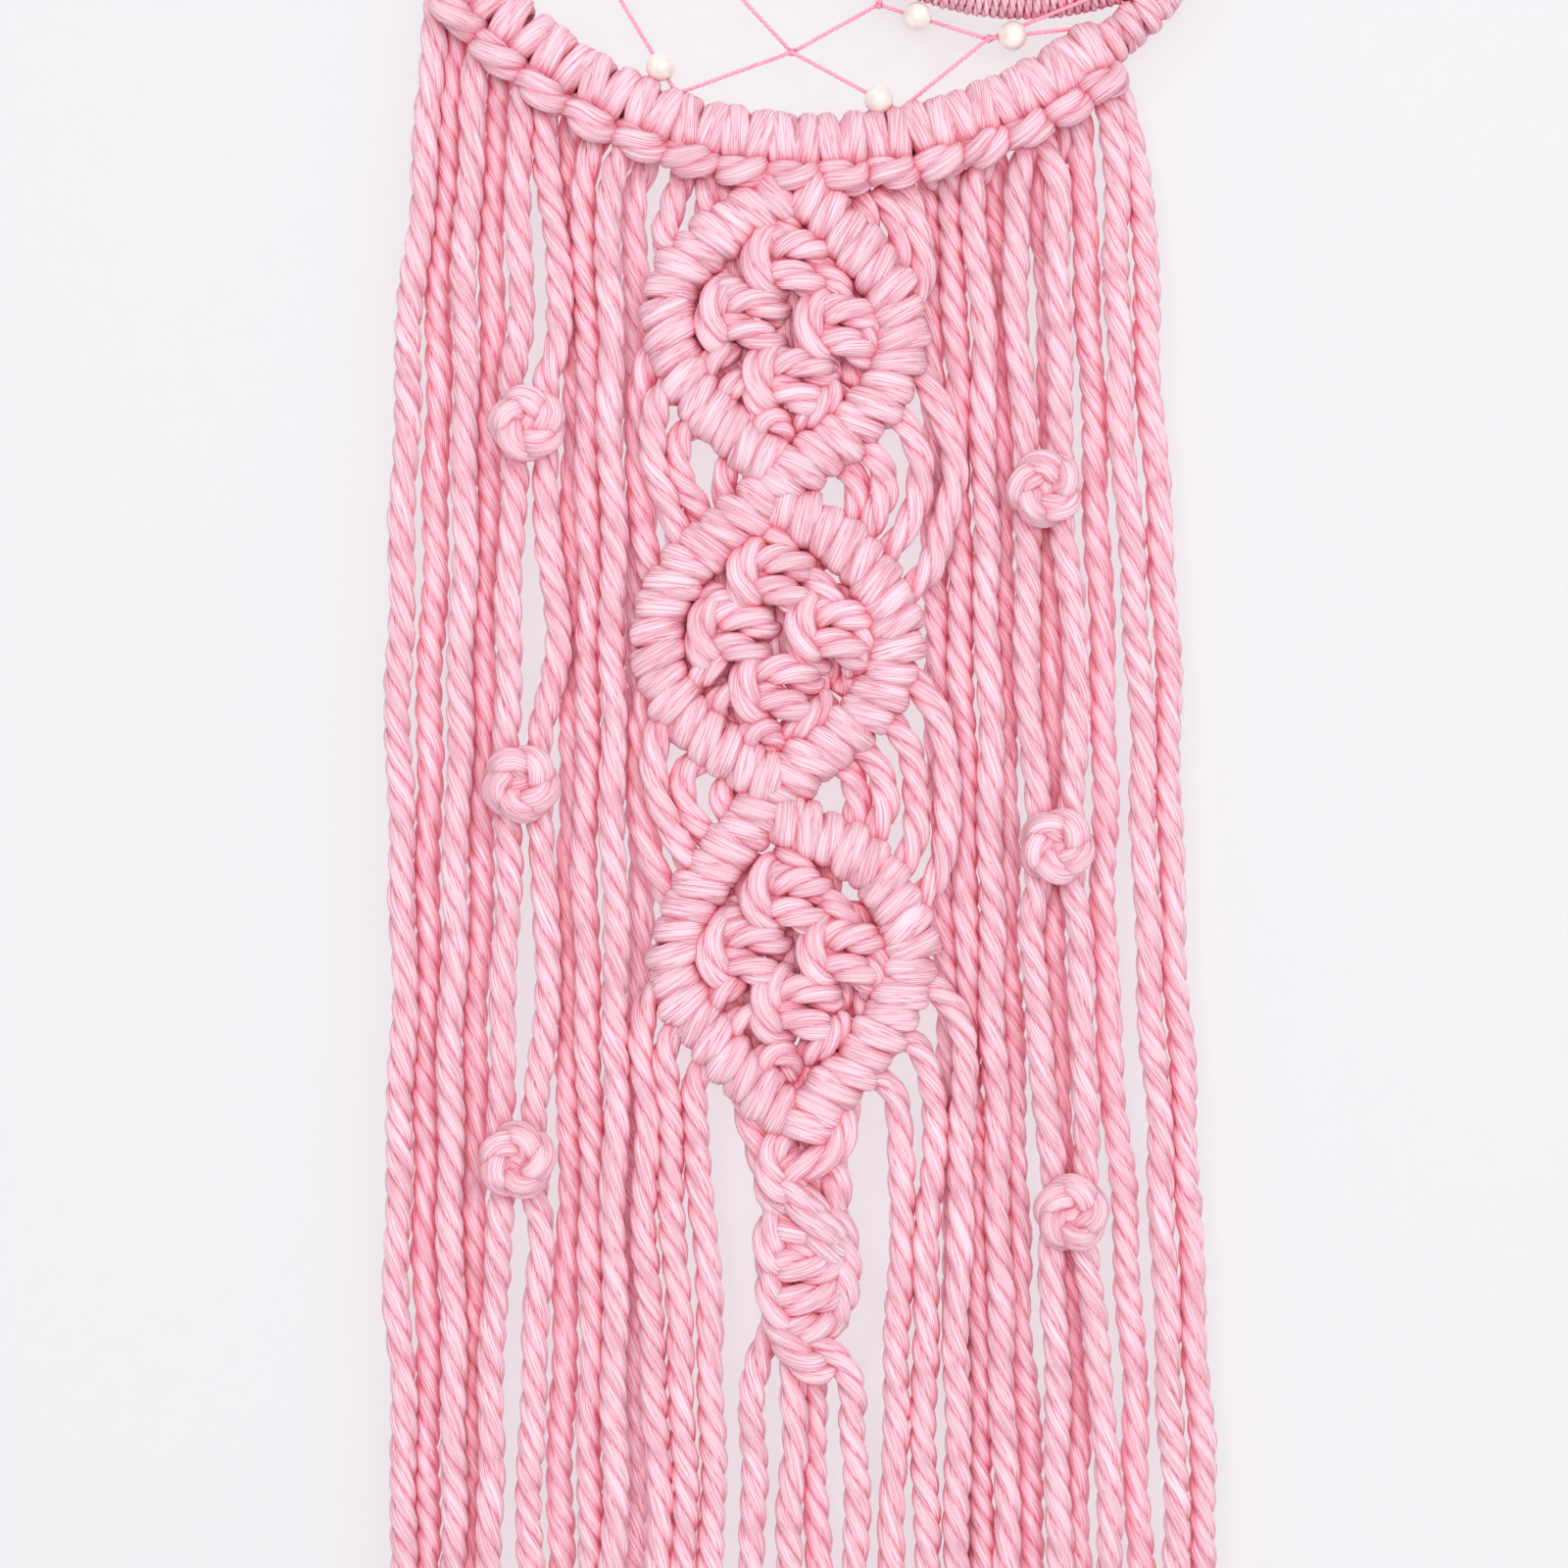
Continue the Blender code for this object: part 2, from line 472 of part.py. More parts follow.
def hitch_foot(number, side, back):
    """Where a strand leaves its hitch: out of the collar, then along the ring's radius."""
    half = (hitch_angle(number + 0.5) - hitch_angle(number - 0.5)) / 2
    angle = hitch_angle(number) + side * (half - math.degrees((CORD_R + 1.5 * GAP) / (HOOP_R + 4.0)))
    return [on_hoop(angle, 3.9, 0.9), on_hoop(angle, 7.6, 0.2 * 0.9 + 0.8 * back)]


def fringe_end(index):
    """The strands are cut by hand, so their ends lie a few millimetres apart."""
    return TOTAL_DROP - 2.0 + 2.0 * math.sin(2.4 * index)


def free_strand(index, number, side, back, rights):
    """One strand from its hitch to the lower end. The two that tie the button knots draw in at each one."""
    stops = [(drop, right) for drop, right in zip(LEVELS[:-1], rights[:-1])]
    stops.append((fringe_end(index), rights[-1]))
    for owner, right, drop in BUTTONS:
        if owner == number:
            stops = [stop for stop in stops if abs(stop[0] - drop) > 14.0]
            stops += [(drop - 7.0, right + side * 2.9), (drop + 7.0, right + side * 2.6)]
    if number == 3:
        stops = [stop for stop in stops if stop[0] != LEVELS[0] or side < 0]
    points = hitch_foot(number, side, back) + [place(right, back, drop) for drop, right in sorted(stops)]
    return tube(thinned(points), CORD_R, 6)


def thinned(points, most_off=SAG):
    """A round curve through the points, with only the corners that keep it within so many millimetres."""
    return corners(smooth(points, 3.0 * MM), most_off * MM)


def corners(line, most_off):
    first, last = line[0], line[-1]
    way = (last - first).normalized()
    offs = [(p - first - way * (p - first).dot(way)).length for p in line]
    worst = max(range(len(line)), key=offs.__getitem__)
    if offs[worst] <= most_off:
        return [first, last]
    return corners(line[: worst + 1], most_off)[:-1] + corners(line[worst:], most_off)


def button(right, drop):
    """A round button knot: four lumps in a ring with a dimple through the middle."""
    lumps = 4
    points = []
    sizes = []
    for k in range(2 * lumps):
        turn = 2 * math.pi * k / (2 * lumps)
        points.append(place(right + 3.5 * math.sin(turn), BUTTON_BACK, drop + 3.5 * math.cos(turn)))
        sizes.append(2.15 if k % 2 else 2.75)
    return tube(points, sizes, 6, closed=True)


def cord_node(number):
    """One folded cord of the outer groups: its lark's head, two strands and any button knots."""
    meshes = [hitch_row(number, number), collar(number)]
    for index, (owner, side, back, rights) in enumerate(STRANDS):
        if owner == number:
            meshes.append(free_strand(index, number, side, back, rights))
    meshes += [button(right, drop) for owner, right, drop in BUTTONS if owner == number]
    bore = hitch_bore(number, number)
    return join_solids(f"cord_{number:02d}", unevenly(meshes, number), COTTON, bore, 0.8)


def bar(back, points):
    """A holding cord covered with double half hitches: a ridged tube."""
    line = smooth([place(right, back, drop) for right, drop in points], BAR_PITCH / 2 * MM)
    if len(line) % 2 == 0:
        line = smooth([place(right, back, drop) for right, drop in points], BAR_PITCH / 2.06 * MM)
    return tube(line, [BAR_PEAK if k % 2 else BAR_VALLEY for k in range(len(line))], 6)


def square_knot(right, drop):
    """Three turns of a square knot: the loop at its left and the two cords tucked under at its right."""
    return [tube([place(right + x, y, drop - z) for x, y, z in turn], KNOT_R, 6) for turn in KNOT_TURNS]


def fillers(diamond, knots):
    right, drop, half_width, half_height = diamond
    made = []
    for start, first, second, end in FILLERS:
        points = [place(right + start[0] * half_width, FILLER_BACK, drop + (2 * start[1] - 1) * half_height)]
        points += [place(knots[k][0], FILLER_BACK, knots[k][1]) for k in (first, second)]
        points.append(place(right + end[0] * half_width, FILLER_BACK, drop + (2 * end[1] - 1) * half_height))
        made.append(tube(points, CORD_R, 4))
    return made


def working_cord(points, index):
    drops = [fringe_end(index) if drop == TOTAL_DROP else drop for right, back, drop in points]
    line = [place(right, back, drop) for (right, back, _), drop in zip(points, drops)]
    if points[-1][2] == TOTAL_DROP:
        return tube(thinned(line), CORD_R, 6)
    return tube(line, CORD_R, 6)


def centre_panel():
    meshes = [hitch_row(PANEL_HITCHES[0], PANEL_HITCHES[-1])]
    meshes += [collar(number) for number in PANEL_HITCHES]
    meshes += [bar(back, points) for back, points in BARS]
    for diamond, knots in zip(DIAMONDS, SQUARE_KNOTS):
        meshes += fillers(diamond, knots)
        for right, drop in knots:
            meshes += square_knot(right, drop)
    for group in WORKING.values():
        meshes += [working_cord(points, index) for index, points in enumerate(group)]
    meshes.append(tube([place(*p) for p in SPIRAL_CORE], SPIRAL_CORE_R, 6))
    bore = hitch_bore(PANEL_HITCHES[0], PANEL_HITCHES[-1])
    return join_solids("centre_panel", unevenly(meshes), COTTON, bore, 0.72)


def hanging_loop():
    """A loop of the same cord, hitched on the top of the hoop with a lark's head."""
    half_turns = math.degrees(2 * CORD_R / HOOP_R)
    count = 4
    angles = [180 - half_turns + 2 * half_turns * k / count for k in range(count + 1)]
    thick = WRAPPED_R + GAP + 0.2
    sizes = [thick + (2.5 if k % 2 else 1.8) for k in range(count + 1)]
    sleeve = tube([on_hoop(a) for a in angles], sizes, 10)
    bight = lobe(on_hoop(180, thick + 2.2, -2.4), (4.0, 2.6, 2.4))
    side = [Vector((right * MM, 0.0, up * MM)) for right, up in LOOP_SIDE]
    other = [Vector((-p.x, 0.0, p.z)) for p in side[:-1]]
    legs = tube(smooth(other + side[::-1], 9.0 * MM), CORD_R, 6)
    bore = ring_bore(180 - half_turns, 180 + half_turns, thick)
    return join_solids("hanging_loop", [sleeve, bight, legs], COTTON, bore)


def moon_reach(angle):
    """How far from the middle of the hoop the inner arc's outer side lies in that direction."""
    turn = math.radians(angle)
    along = MOON_RIGHT * math.sin(turn) + MOON_DROP * math.cos(turn)
    apart = MOON_RIGHT**2 + MOON_DROP**2
    return along + math.sqrt(along**2 + MOON_R**2 - apart) + MOON_WRAPPED_R


def web_point(row, column):
    """A node of the net, or None where the moon is too narrow for that row. Row 0 is tied to the hoop."""
    angle = WEB_FIRST - SPOKE * (column + row / 2)
    width = HOOP_R - WEB_EDGE - moon_reach(angle)
    if row == 0:
        beside = HITCH_IN + HITCH_PEAK if BARE_ARC[1] < angle < BARE_ARC[0] else WRAPPED_R
        return on_hoop(angle, -(beside + THREAD_R + GAP + 0.1), WEB_BACK)
    depth = row * ROW_STEP * math.sqrt(min(1.0, max(width, 0.0) / FULL_WIDTH))
    if depth > width - 4.0:
        return None
    return on_hoop(angle, -WEB_EDGE - depth, WEB_BACK)


def web_nodes():
    found = {}
    for row in range(WEB_ROWS + 1):
        for column in range(WEB_SPOKES - row):
            above = row == 0 or ((row - 1, column) in found and (row - 1, column + 1) in found)
            point = web_point(row, column) if above else None
            if point is not None:
                found[row, column] = point
    return found


def moon_tie(point):
    """Where a thread from that node is tied to the inner arc: straight towards the arc's middle."""
    middle = place(MOON_RIGHT, WEB_BACK, MOON_DROP)
    away = (point - middle).normalized()
    return middle + away * (MOON_R + MOON_WRAPPED_R + GAP) * MM


def web_rows(nodes):
    """The net as running threads: each row zigzags between two rows of nodes, or is tied to the inner arc."""
    rows = []
    for row in range(WEB_ROWS + 1):
        line = []
        for column in range(WEB_SPOKES):
            high = nodes.get((row, column))
            if high is None:
                continue
            before, after = (row + 1, column - 1) in nodes, (row + 1, column) in nodes
            if row > 0 and not before:
                line.append(moon_tie(high))
            line.append(high)
            if after:
                line.append(nodes[row + 1, column])
            else:
                if row > 0 and before:
                    line.append(moon_tie(high))
                rows.append([point + web_lift(row) for point in line])
                line = []
    return rows


def web_lift(row):
    """Each row of thread crosses the one above it, a little in front or behind."""
    return Vector((0.0, (0.25 if row % 2 else -0.25) * MM, 0.0))


def web_thread():
    return join_solids("web_thread", [tube(line, THREAD_R, 4) for line in web_rows(web_nodes())], THREAD)


def pearl(number, start, end, share):
    """A turned bead with its bore along the thread."""
    edge = math.acos(PEARL_BORE_R / PEARL_R)
    count = 3
    angles = [edge - 2 * edge * k / count for k in range(count + 1)]
    profile = [(PEARL_R * math.cos(a), PEARL_R * math.sin(a)) for a in angles]
    mesh = bpy.data.meshes.new(f"pearl_{number:02d}")
    points = [(x * MM, 0.0, z * MM) for x, z in profile]
    edges = [(k, (k + 1) % len(points)) for k in range(len(points))]
    mesh.from_pydata(points, edges, [])
    made = add_object(f"pearl_{number:02d}", mesh, PIECES)
    turn = made.modifiers.new("turn", "SCREW")
    turn.axis = "Z"
    turn.angle = 2 * math.pi
    turn.steps = turn.render_steps = 8
    turn.use_merge_vertices = True
    turn.merge_threshold = 1e-6
    turn.use_smooth_shade = True
    made.location = start.lerp(end, share)
    made.rotation_mode = "QUATERNION"
    made.rotation_quaternion = (end - start).to_track_quat("Z", "Y")
    made.data.materials.append(PEARL)
    return made


for old in list(bpy.data.objects):
    bpy.data.objects.remove(old)
PIECES = bpy.data.collections.new("macrame_wall_hanging")
CUTTERS = bpy.data.collections.new("joined_and_cut_with")
bpy.context.scene.collection.children.link(PIECES)
bpy.context.scene.collection.children.link(CUTTERS)
COTTON = material("pink_cotton_cord", PINK, 0.9)
THREAD = material("pink_thread", THREAD_PINK, 0.7)
PEARL = material("ivory_pearl", PEARL_WHITE, 0.25)

outer_hoop()
inner_hoop()
hanging_loop()
for hitch in LEFT_HITCHES + RIGHT_HITCHES:
    cord_node(hitch)
centre_panel()
web_thread()
net = web_nodes()
for count, (from_node, to_node, share) in enumerate(PEARLS, 1):
    lift = web_lift(from_node[0])
    pearl(count, net[from_node] + lift, net[to_node] + lift, share)
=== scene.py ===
# %% [markdown]
# # A macrame wall hanging on a moon-shaped hoop
# Pink cotton cord is hitched on a 15 cm hoop, knotted into three diamonds in the middle and left hanging
# as a fringe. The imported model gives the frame: its nodes say where each piece lies, in metres. Here
# every piece is made again as real laid cord, so that the strands and fibres show.

# %% Load the frame
import math

import bpy
import numpy as np
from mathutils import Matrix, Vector


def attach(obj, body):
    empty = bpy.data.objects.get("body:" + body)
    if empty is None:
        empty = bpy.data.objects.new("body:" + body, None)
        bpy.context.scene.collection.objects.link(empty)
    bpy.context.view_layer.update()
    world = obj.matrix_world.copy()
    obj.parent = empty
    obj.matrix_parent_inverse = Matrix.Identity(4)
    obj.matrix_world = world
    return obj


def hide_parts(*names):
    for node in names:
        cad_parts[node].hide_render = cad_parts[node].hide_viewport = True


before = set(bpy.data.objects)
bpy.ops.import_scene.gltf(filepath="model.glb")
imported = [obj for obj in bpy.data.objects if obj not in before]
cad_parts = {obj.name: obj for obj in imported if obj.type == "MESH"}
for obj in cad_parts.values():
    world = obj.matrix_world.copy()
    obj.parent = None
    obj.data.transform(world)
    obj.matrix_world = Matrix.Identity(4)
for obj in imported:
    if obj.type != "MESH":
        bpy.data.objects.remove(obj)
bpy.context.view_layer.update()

MM = 0.001


def new_object(name, data):
    """An object for the mesh, lamp or camera, in the scene."""
    made = bpy.data.objects.new(name, data)
    bpy.context.scene.collection.objects.link(made)
    return made


# %% [markdown]
# ## The camera
# The picture is taken straight from the front, level with the second diamond. A long lens gives almost no
# perspective, which is what the straight, parallel fringe shows. The distance follows from the lens: 262
# mm of the hanging fill the frame.

# %% Camera
LENS, SENSOR = 100.0, 36.0  # mm
FRAME_WIDTH = 262.4  # mm of the hanging across the picture
VIEW_RIGHT, VIEW_UP = -5.74, -318.0  # mm, middle of the picture

lens = bpy.data.cameras.new("camera")
lens.lens, lens.sensor_width = LENS, SENSOR
lens.clip_start, lens.clip_end = 0.01, 20.0
camera = new_object("camera", lens)
camera.location = Vector((VIEW_RIGHT, -FRAME_WIDTH * LENS / SENSOR, VIEW_UP)) * MM
camera.rotation_euler = (math.radians(90), 0, 0)
bpy.context.scene.camera = camera
print("camera at", tuple(round(v, 3) for v in camera.location))

# %% [markdown]
# ## Where things are
# A maker measures from the middle of the hoop: so far to the right, so far back towards the wall and so
# far down. Three small functions turn such measures into points: one for the whole hanging, one for the
# outer hoop and one for the inner arc, both by an angle from straight down.

# %% Measures
HOOP_R, RING_R, WRAPPED_R = 76.0, 1.5, 3.4  # the outer hoop, its bare ring, and the ring with its winding
MOON_R, MOON_CORE_R, MOON_WRAPPED_R = 47.5, 2.2, 3.1  # the same of the inner arc
MOON_RIGHT, MOON_DROP = 34.4, 3.6
LOOP_RISE = 60.0
FRINGE = 464.0  # drop of the cut ends
HOOP_Z = -(LOOP_RISE + HOOP_R)
HITCHES = 15
CORD_R, KNOT_R = 2.4, 2.65  # circle round the three strands, hanging and knotted
RIGHT = np.array((1.0, 0.0, 0.0))
FRONT = np.array((0.0, -1.0, 0.0))
BACK = np.array((0.0, 1.0, 0.0))
UP = np.array((0.0, 0.0, 1.0))


def place(right, back, drop):
    """A point in millimetres from the middle of the hoop."""
    return np.array((right, back, HOOP_Z - drop), float)


def on_hoop(angle, out=0.0, back=0.0):
    turn = math.radians(angle)
    return place((HOOP_R + out) * math.sin(turn), back, (HOOP_R + out) * math.cos(turn))


def on_moon(angle):
    turn = math.radians(angle)
    return place(MOON_RIGHT + MOON_R * math.sin(turn), 0.0, MOON_DROP + MOON_R * math.cos(turn))


def hitch_angle(number):
    """The hitches are pushed closer together towards the right."""
    step = number - (HITCHES + 1) / 2
    return -3.0 + 6.04 * step - 0.063 * step * step


def half_hitch(number):
    return (hitch_angle(number + 0.5) - hitch_angle(number - 0.5)) / 2


def arc_axes(angle):
    """The directions along the hoop, out from its middle and back to the wall."""
    turn = math.radians(angle)
    along = np.array((math.cos(turn), 0.0, math.sin(turn)))
    out = np.array((math.sin(turn), 0.0, -math.cos(turn)))
    return along, out, BACK


print("hoop across:", 2 * (HOOP_R + WRAPPED_R), "mm")

# %% [markdown]
# ## Laid cord
# The cord is three soft strands laid round each other. It could be a tube with a bump texture, but then
# its outline would be straight. So its real section is swept along a route: three round lobes that turn
# as they go, one turn for each lay. The strands run down to the right across the front. Each point also
# remembers two things for the material: how near it is to the crest of its strand, and its place along
# and across the cotton fibres, as a UV map in millimetres.

# %% Section of the cord
PART, SIDES = 5, 15  # points round one strand and round all three
STRAND_R, STRAND_OUT = 0.62, 0.38  # of the cord's radius
LAY = 16.0  # mm of cord for one turn of its strands
LAY_DRIFT, DRIFT_RUN = 0.09, 11.0  # turns that a soft lay wanders, and over how many mm
SWELL_RUN, RIPPLE_RUN = 3.4, 1.5  # mm, the slow and the quick changes of thickness
FIBRE_LEAN = 0.45  # the fibres lie between the strand's own way and the cord's
FIBRE_GAP = 0.43  # across the fibres from point to point, of the cord's radius
TIP = 0.4  # how far a cut end bulges, of the cord's radius
STRAND_SHIFT, CORD_SHIFT, CORD_AHEAD = 7.3, 9.0, 40  # mm, so that no two share a stretch of streaks
lobe = np.radians(np.tile(np.linspace(-60, 36, PART), 3))
outline = STRAND_OUT * np.cos(lobe) + np.sqrt(STRAND_R**2 - (STRAND_OUT * np.sin(lobe)) ** 2)
around = np.radians(np.arange(SIDES) * 360 / SIDES)
crest_share = (outline - outline.min()) / (outline.max() - outline.min())
chance = np.random.default_rng(7)
print("valley at", round(outline.min(), 2), "of the radius")


# %% Smooth routes
def even(route, step, closed=False):
    """Evenly spaced points on a round curve through the given ones."""
    given = np.array([tuple(p) for p in route], float)
    if closed:
        ends = np.vstack([given[-1], given, given[0], given[1]])
    else:
        ends = np.vstack([2 * given[0] - given[1], given, 2 * given[-1] - given[-2]])
    dense = []
    share = np.linspace(0, 1, 24, endpoint=False)[:, None]
    for a, b, c, d in zip(ends, ends[1:], ends[2:], ends[3:]):
        square, cube = 2 * a - 5 * b + 4 * c - d, 3 * b - a - 3 * c + d
        dense.append(b + 0.5 * ((c - a) * share + square * share**2 + cube * share**3))
    dense = np.vstack(dense + [ends[-2]])
    along = np.concatenate([[0], np.cumsum(np.linalg.norm(np.diff(dense, axis=0), axis=1))])
    count = max(3, math.ceil(along[-1] / step) + 1)
    wanted = np.linspace(0, along[-1], count)
    points = np.stack([np.interp(wanted, along, dense[:, k]) for k in range(3)], axis=1)
    return points[:-1] if closed else points


def unit(vectors):
    return vectors / np.maximum(np.linalg.norm(vectors, axis=-1, keepdims=True), 1e-9)


def outward(points, tangent, face):
    """The cord's own up direction at each point: as asked, or carried along without turning."""
    if face is not None:
        wish = face(points)
    else:
        wish = np.tile(FRONT, (len(points), 1))
        last = FRONT if abs(tangent[0] @ FRONT) < 0.9 else RIGHT
        for k, way in enumerate(tangent):
            last = unit(last - way * (last @ way))
            wish[k] = last
    return unit(wish - tangent * np.sum(wish * tangent, axis=1, keepdims=True))


# %% Sweep one cord
def laid(
    route, radius=CORD_R, lay=LAY, wide=1.0, thin=1.0, face=None, step=1.0,
    closed=False, loose=0.035, deep=1.0, ends=1.0,
):
    """One laid cord as vertices, faces, fibre places, crests and tone.

    wide and thin flatten it against face, loose is how uneven its thickness is, deep is the depth of its
    grooves, and ends narrows its two ends.
    """
    points = np.array(route, float) if step is None else even(route, step, closed)
    if closed:
        tangent = unit(np.roll(points, -1, axis=0) - np.roll(points, 1, axis=0))
        gaps = np.linalg.norm(np.roll(points, -1, axis=0) - points, axis=1)
    else:
        tangent = unit(np.gradient(points, axis=0))
        gaps = np.linalg.norm(np.diff(points, axis=0), axis=1)
    along = np.concatenate([[0], np.cumsum(gaps)])
    start, swell, drift, place_u, place_v = chance.uniform(0, 2 * math.pi, 5)
    if closed:  # a whole number of strands, so that the ends of the ring meet
        shift = round(3 * along[-1] / lay)
        turned = along / along[-1] * shift / 3
    else:
        shift = 0
        turned = along / lay + LAY_DRIFT * np.sin(along / DRIFT_RUN + drift)
    count = len(points)
    up = outward(points, tangent, face)
    side = np.cross(tangent, up)
    spot = along[:count]
    swelling, ripple = np.sin(spot / SWELL_RUN + swell), np.sin(spot / RIPPLE_RUN)
    size = radius * (1 + loose * swelling + 0.5 * loose * ripple)
    angle = around[None, :] - 2 * math.pi * turned[:count, None] + start
    size = size * (ends + (1 - ends) * np.sqrt(np.sin(math.pi * np.clip(spot / along[-1], 0, 1))))
    reach = (1 + deep * (outline - 1))[None, :] * size[:, None]
    across = (thin * reach * np.cos(angle))[..., None] * up[:, None, :]
    across = across + (wide * reach * np.sin(angle))[..., None] * side[:, None, :]
    rings = points[:, None, :] + across
    column = np.arange(SIDES)
    row = np.arange(count if closed else count - 1)[:, None]
    after = (column + 1) % SIDES
    upper_row = np.where(row + 1 < count, row + 1, 0)
    turn_back = np.where(row + 1 < count, 0, PART * shift)
    lower, upper = row * SIDES, upper_row * SIDES
    above, beyond = (column - turn_back) % SIDES, (after - turn_back) % SIDES
    quads = np.stack([lower + column, lower + after, upper + beyond, upper + above], axis=-1).reshape(-1, 4)
    strand, part = column // PART, column % PART
    near = strand * STRAND_SHIFT + part * FIBRE_GAP * radius + CORD_SHIFT * place_v
    far = near + FIBRE_GAP * radius
    here, there = along[row] + CORD_AHEAD * place_u, along[row + 1] + CORD_AHEAD * place_u
    corners = ((here, near), (here, far), (there, far), (there, near))
    places = [np.stack(np.broadcast_arrays(u, v - FIBRE_LEAN * u), axis=-1) for u, v in corners]
    places = np.stack(places, axis=-2).reshape(-1, 2)
    vertices = rings.reshape(-1, 3)
    crests = np.tile(1 - deep * (1 - crest_share), count)
    faces = quads.tolist()
    if not closed:
        tips = [points[0] - tangent[0] * TIP * radius, points[-1] + tangent[-1] * TIP * radius]
        vertices = np.vstack([vertices, tips])
        crests = np.append(crests, (0.5, 0.5))
        first, last = count * SIDES, count * SIDES + 1
        base = (count - 1) * SIDES
        faces += [[first, (k + 1) % SIDES, k] for k in range(SIDES)]
        faces += [[last, base + k, base + (k + 1) % SIDES] for k in range(SIDES)]
        places = np.vstack([places, np.tile((0.0, 0.0), (6 * SIDES, 1))])
    tone = np.full(len(vertices), chance.uniform(-1, 1))
    return vertices * MM, faces, places, crests, tone


# %% Put cords together as one piece
made_pieces = {}


def piece_of(name, cords, finish):
    """One mesh from several cords, riding on the hanging and standing for the node of that name."""
    points, own_faces, places, crests, tones = zip(*cords)
    faces, offset = [], 0
    for cord_points, cord_faces in zip(points, own_faces):
        faces += [[index + offset for index in face] for face in cord_faces]
        offset += len(cord_points)
    mesh = bpy.data.meshes.new(name + "_cords")
    mesh.from_pydata(np.vstack(points).tolist(), [], faces)
    fibre = mesh.uv_layers.new(name="fibre")
    fibre.data.foreach_set("uv", np.vstack(places).astype(np.float32).ravel())
    for label, values in (("crest", crests), ("tone", tones)):
        mark = mesh.attributes.new(label, "FLOAT", "POINT")
        mark.data.foreach_set("value", np.concatenate(values).astype(np.float32))
    mesh.shade_smooth()
    mesh.materials.append(finish)
    made = new_object(name + "_laid", mesh)
    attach(made, "root")
    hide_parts(name)
    triangles = sum(len(face) - 2 for face in faces)
    made_pieces[name] = triangles
    print(name, "has", triangles, "triangles")


# %% [markdown]
# ## Cotton, thread and pearl
# The cord is combed cotton, dyed pink and only loosely twisted. Its fibres scatter light softly, so it is
# rough, with a faint sheen. Light and shade are painted into the colour: paler on the crests as painted
# light, deep pink in the grooves and creases as painted shade and bounced light between strands. The fibres
# are about 0.02 mm thick, far too thin to see, so bundles of about 0.4 mm are drawn along each strand, with
# a thin dark edge of painted shade.

# %% Colours and nodes
WHITE = "#FFFFFF"


def linear(code):
    """An sRGB hex colour as linear values."""
    values = [int(code[k : k + 2], 16) / 255 for k in (1, 3, 5)]
    return [v / 12.92 if v <= 0.04045 else ((v + 0.055) / 1.055) ** 2.4 for v in values] + [1.0]


def add_node(tree, kind, inputs=None, **settings):
    """Adds a node, sets its options and fills or links its sockets."""
    made = tree.nodes.new("ShaderNode" + kind)
    for option, value in settings.items():
        setattr(made, option, value)
    for socket, value in (inputs or {}).items():
        if isinstance(value, bpy.types.NodeSocket):
            tree.links.new(value, made.inputs[socket])
        else:
            made.inputs[socket].default_value = value
    return made


def sums(tree, operation, *values):
    """A math node for the values or sockets in turn."""
    return add_node(tree, "Math", dict(enumerate(values)), operation=operation).outputs[0]


def ramped(tree, factor, *stops):
    """A colour ramp with (position, hex colour) stops."""
    ramp = add_node(tree, "ValToRGB", {"Fac": factor})
    elements = ramp.color_ramp.elements
    for _ in stops[2:]:
        elements.new(0.5)
    for element, (position, code) in zip(elements, stops):
        element.position, element.color = position, linear(code)
    return ramp.outputs["Color"]


def multiplied(tree, share, first, second):
    """The first colour multiplied by a share of the second."""
    inputs = {"Factor": share, 6: first, 7: second}
    return add_node(tree, "Mix", inputs, data_type="RGBA", blend_type="MULTIPLY").outputs[2]


def new_material(name, values):
    """A material whose Principled BSDF has the given values."""
    made = bpy.data.materials.new(name)
    made.use_nodes = True
    shader = made.node_tree.nodes["Principled BSDF"]
    for socket, value in values.items():
        shader.inputs[socket].default_value = value
    return made, made.node_tree, shader


print("white as linear values:", linear(WHITE))

# %% Combed cotton
# The pinks of a crest, a groove and its deepest place, which paint light on the crests and shade in the
# grooves, and of the painted shade at the edge of a fibre bundle.
CORD_PINKS = ("#FAD4E0", "#F8C8D6", "#EFA2B7", "#D17B94")
THREAD_PINKS = ("#FBB2C6", "#F8A2B9", "#F18BA6", "#FBC4D2")
FIBRE_BUNDLE, FIBRE_RUN, FIBRE_RELIEF = 0.38, 15.0, 0.14  # mm across, along and deep
THREAD_BUNDLE, THREAD_RELIEF = 0.2, 0.02
FIBRE_LINE = 0.06  # share of a bundle that its dark edge, painted shade between bundles, takes
YARN_RUN = 26.0  # mm, the slower changes along a strand
CREASE_SHADE_PINK, CREASE_SHADE_REACH = "#FFA6B6", 2.6  # painted shade and bounced light deepen the pink in the creases within so many mm
COTTON_VALUES = {
    "IOR": 1.53,  # cellulose
    "Specular IOR Level": 0.12,  # loose fibres break up its reflection
    "Sheen Weight": 0.15,  # their ends catch light along the edges of the cord
    "Sheen Tint": linear("#FFA9BF"),
    "Sheen Roughness": 0.5,
    "Subsurface Weight": 0.2,  # some light goes through a strand and comes out redder
    "Subsurface Radius": (1.0, 0.35, 0.42),
    "Subsurface Scale": 2.0 * MM,
}
COTTON_ROUGH, WAX_ROUGH = 0.9, 0.55  # wax smooths the thread down, so it is glossier than the cord


def streaks(tree, places, run, bundle, detail):
    """Long thin streaks along the fibres, run and bundle in millimetres."""
    size = (1 / run, 1 / bundle, 1.0)
    spot = add_node(tree, "VectorMath", {0: places, 1: size}, operation="MULTIPLY").outputs[0]
    inputs = {"Vector": spot, "Scale": 1.0, "Detail": detail, "Roughness": 0.6}
    return add_node(tree, "TexNoise", inputs, noise_dimensions="2D").outputs["Fac"]


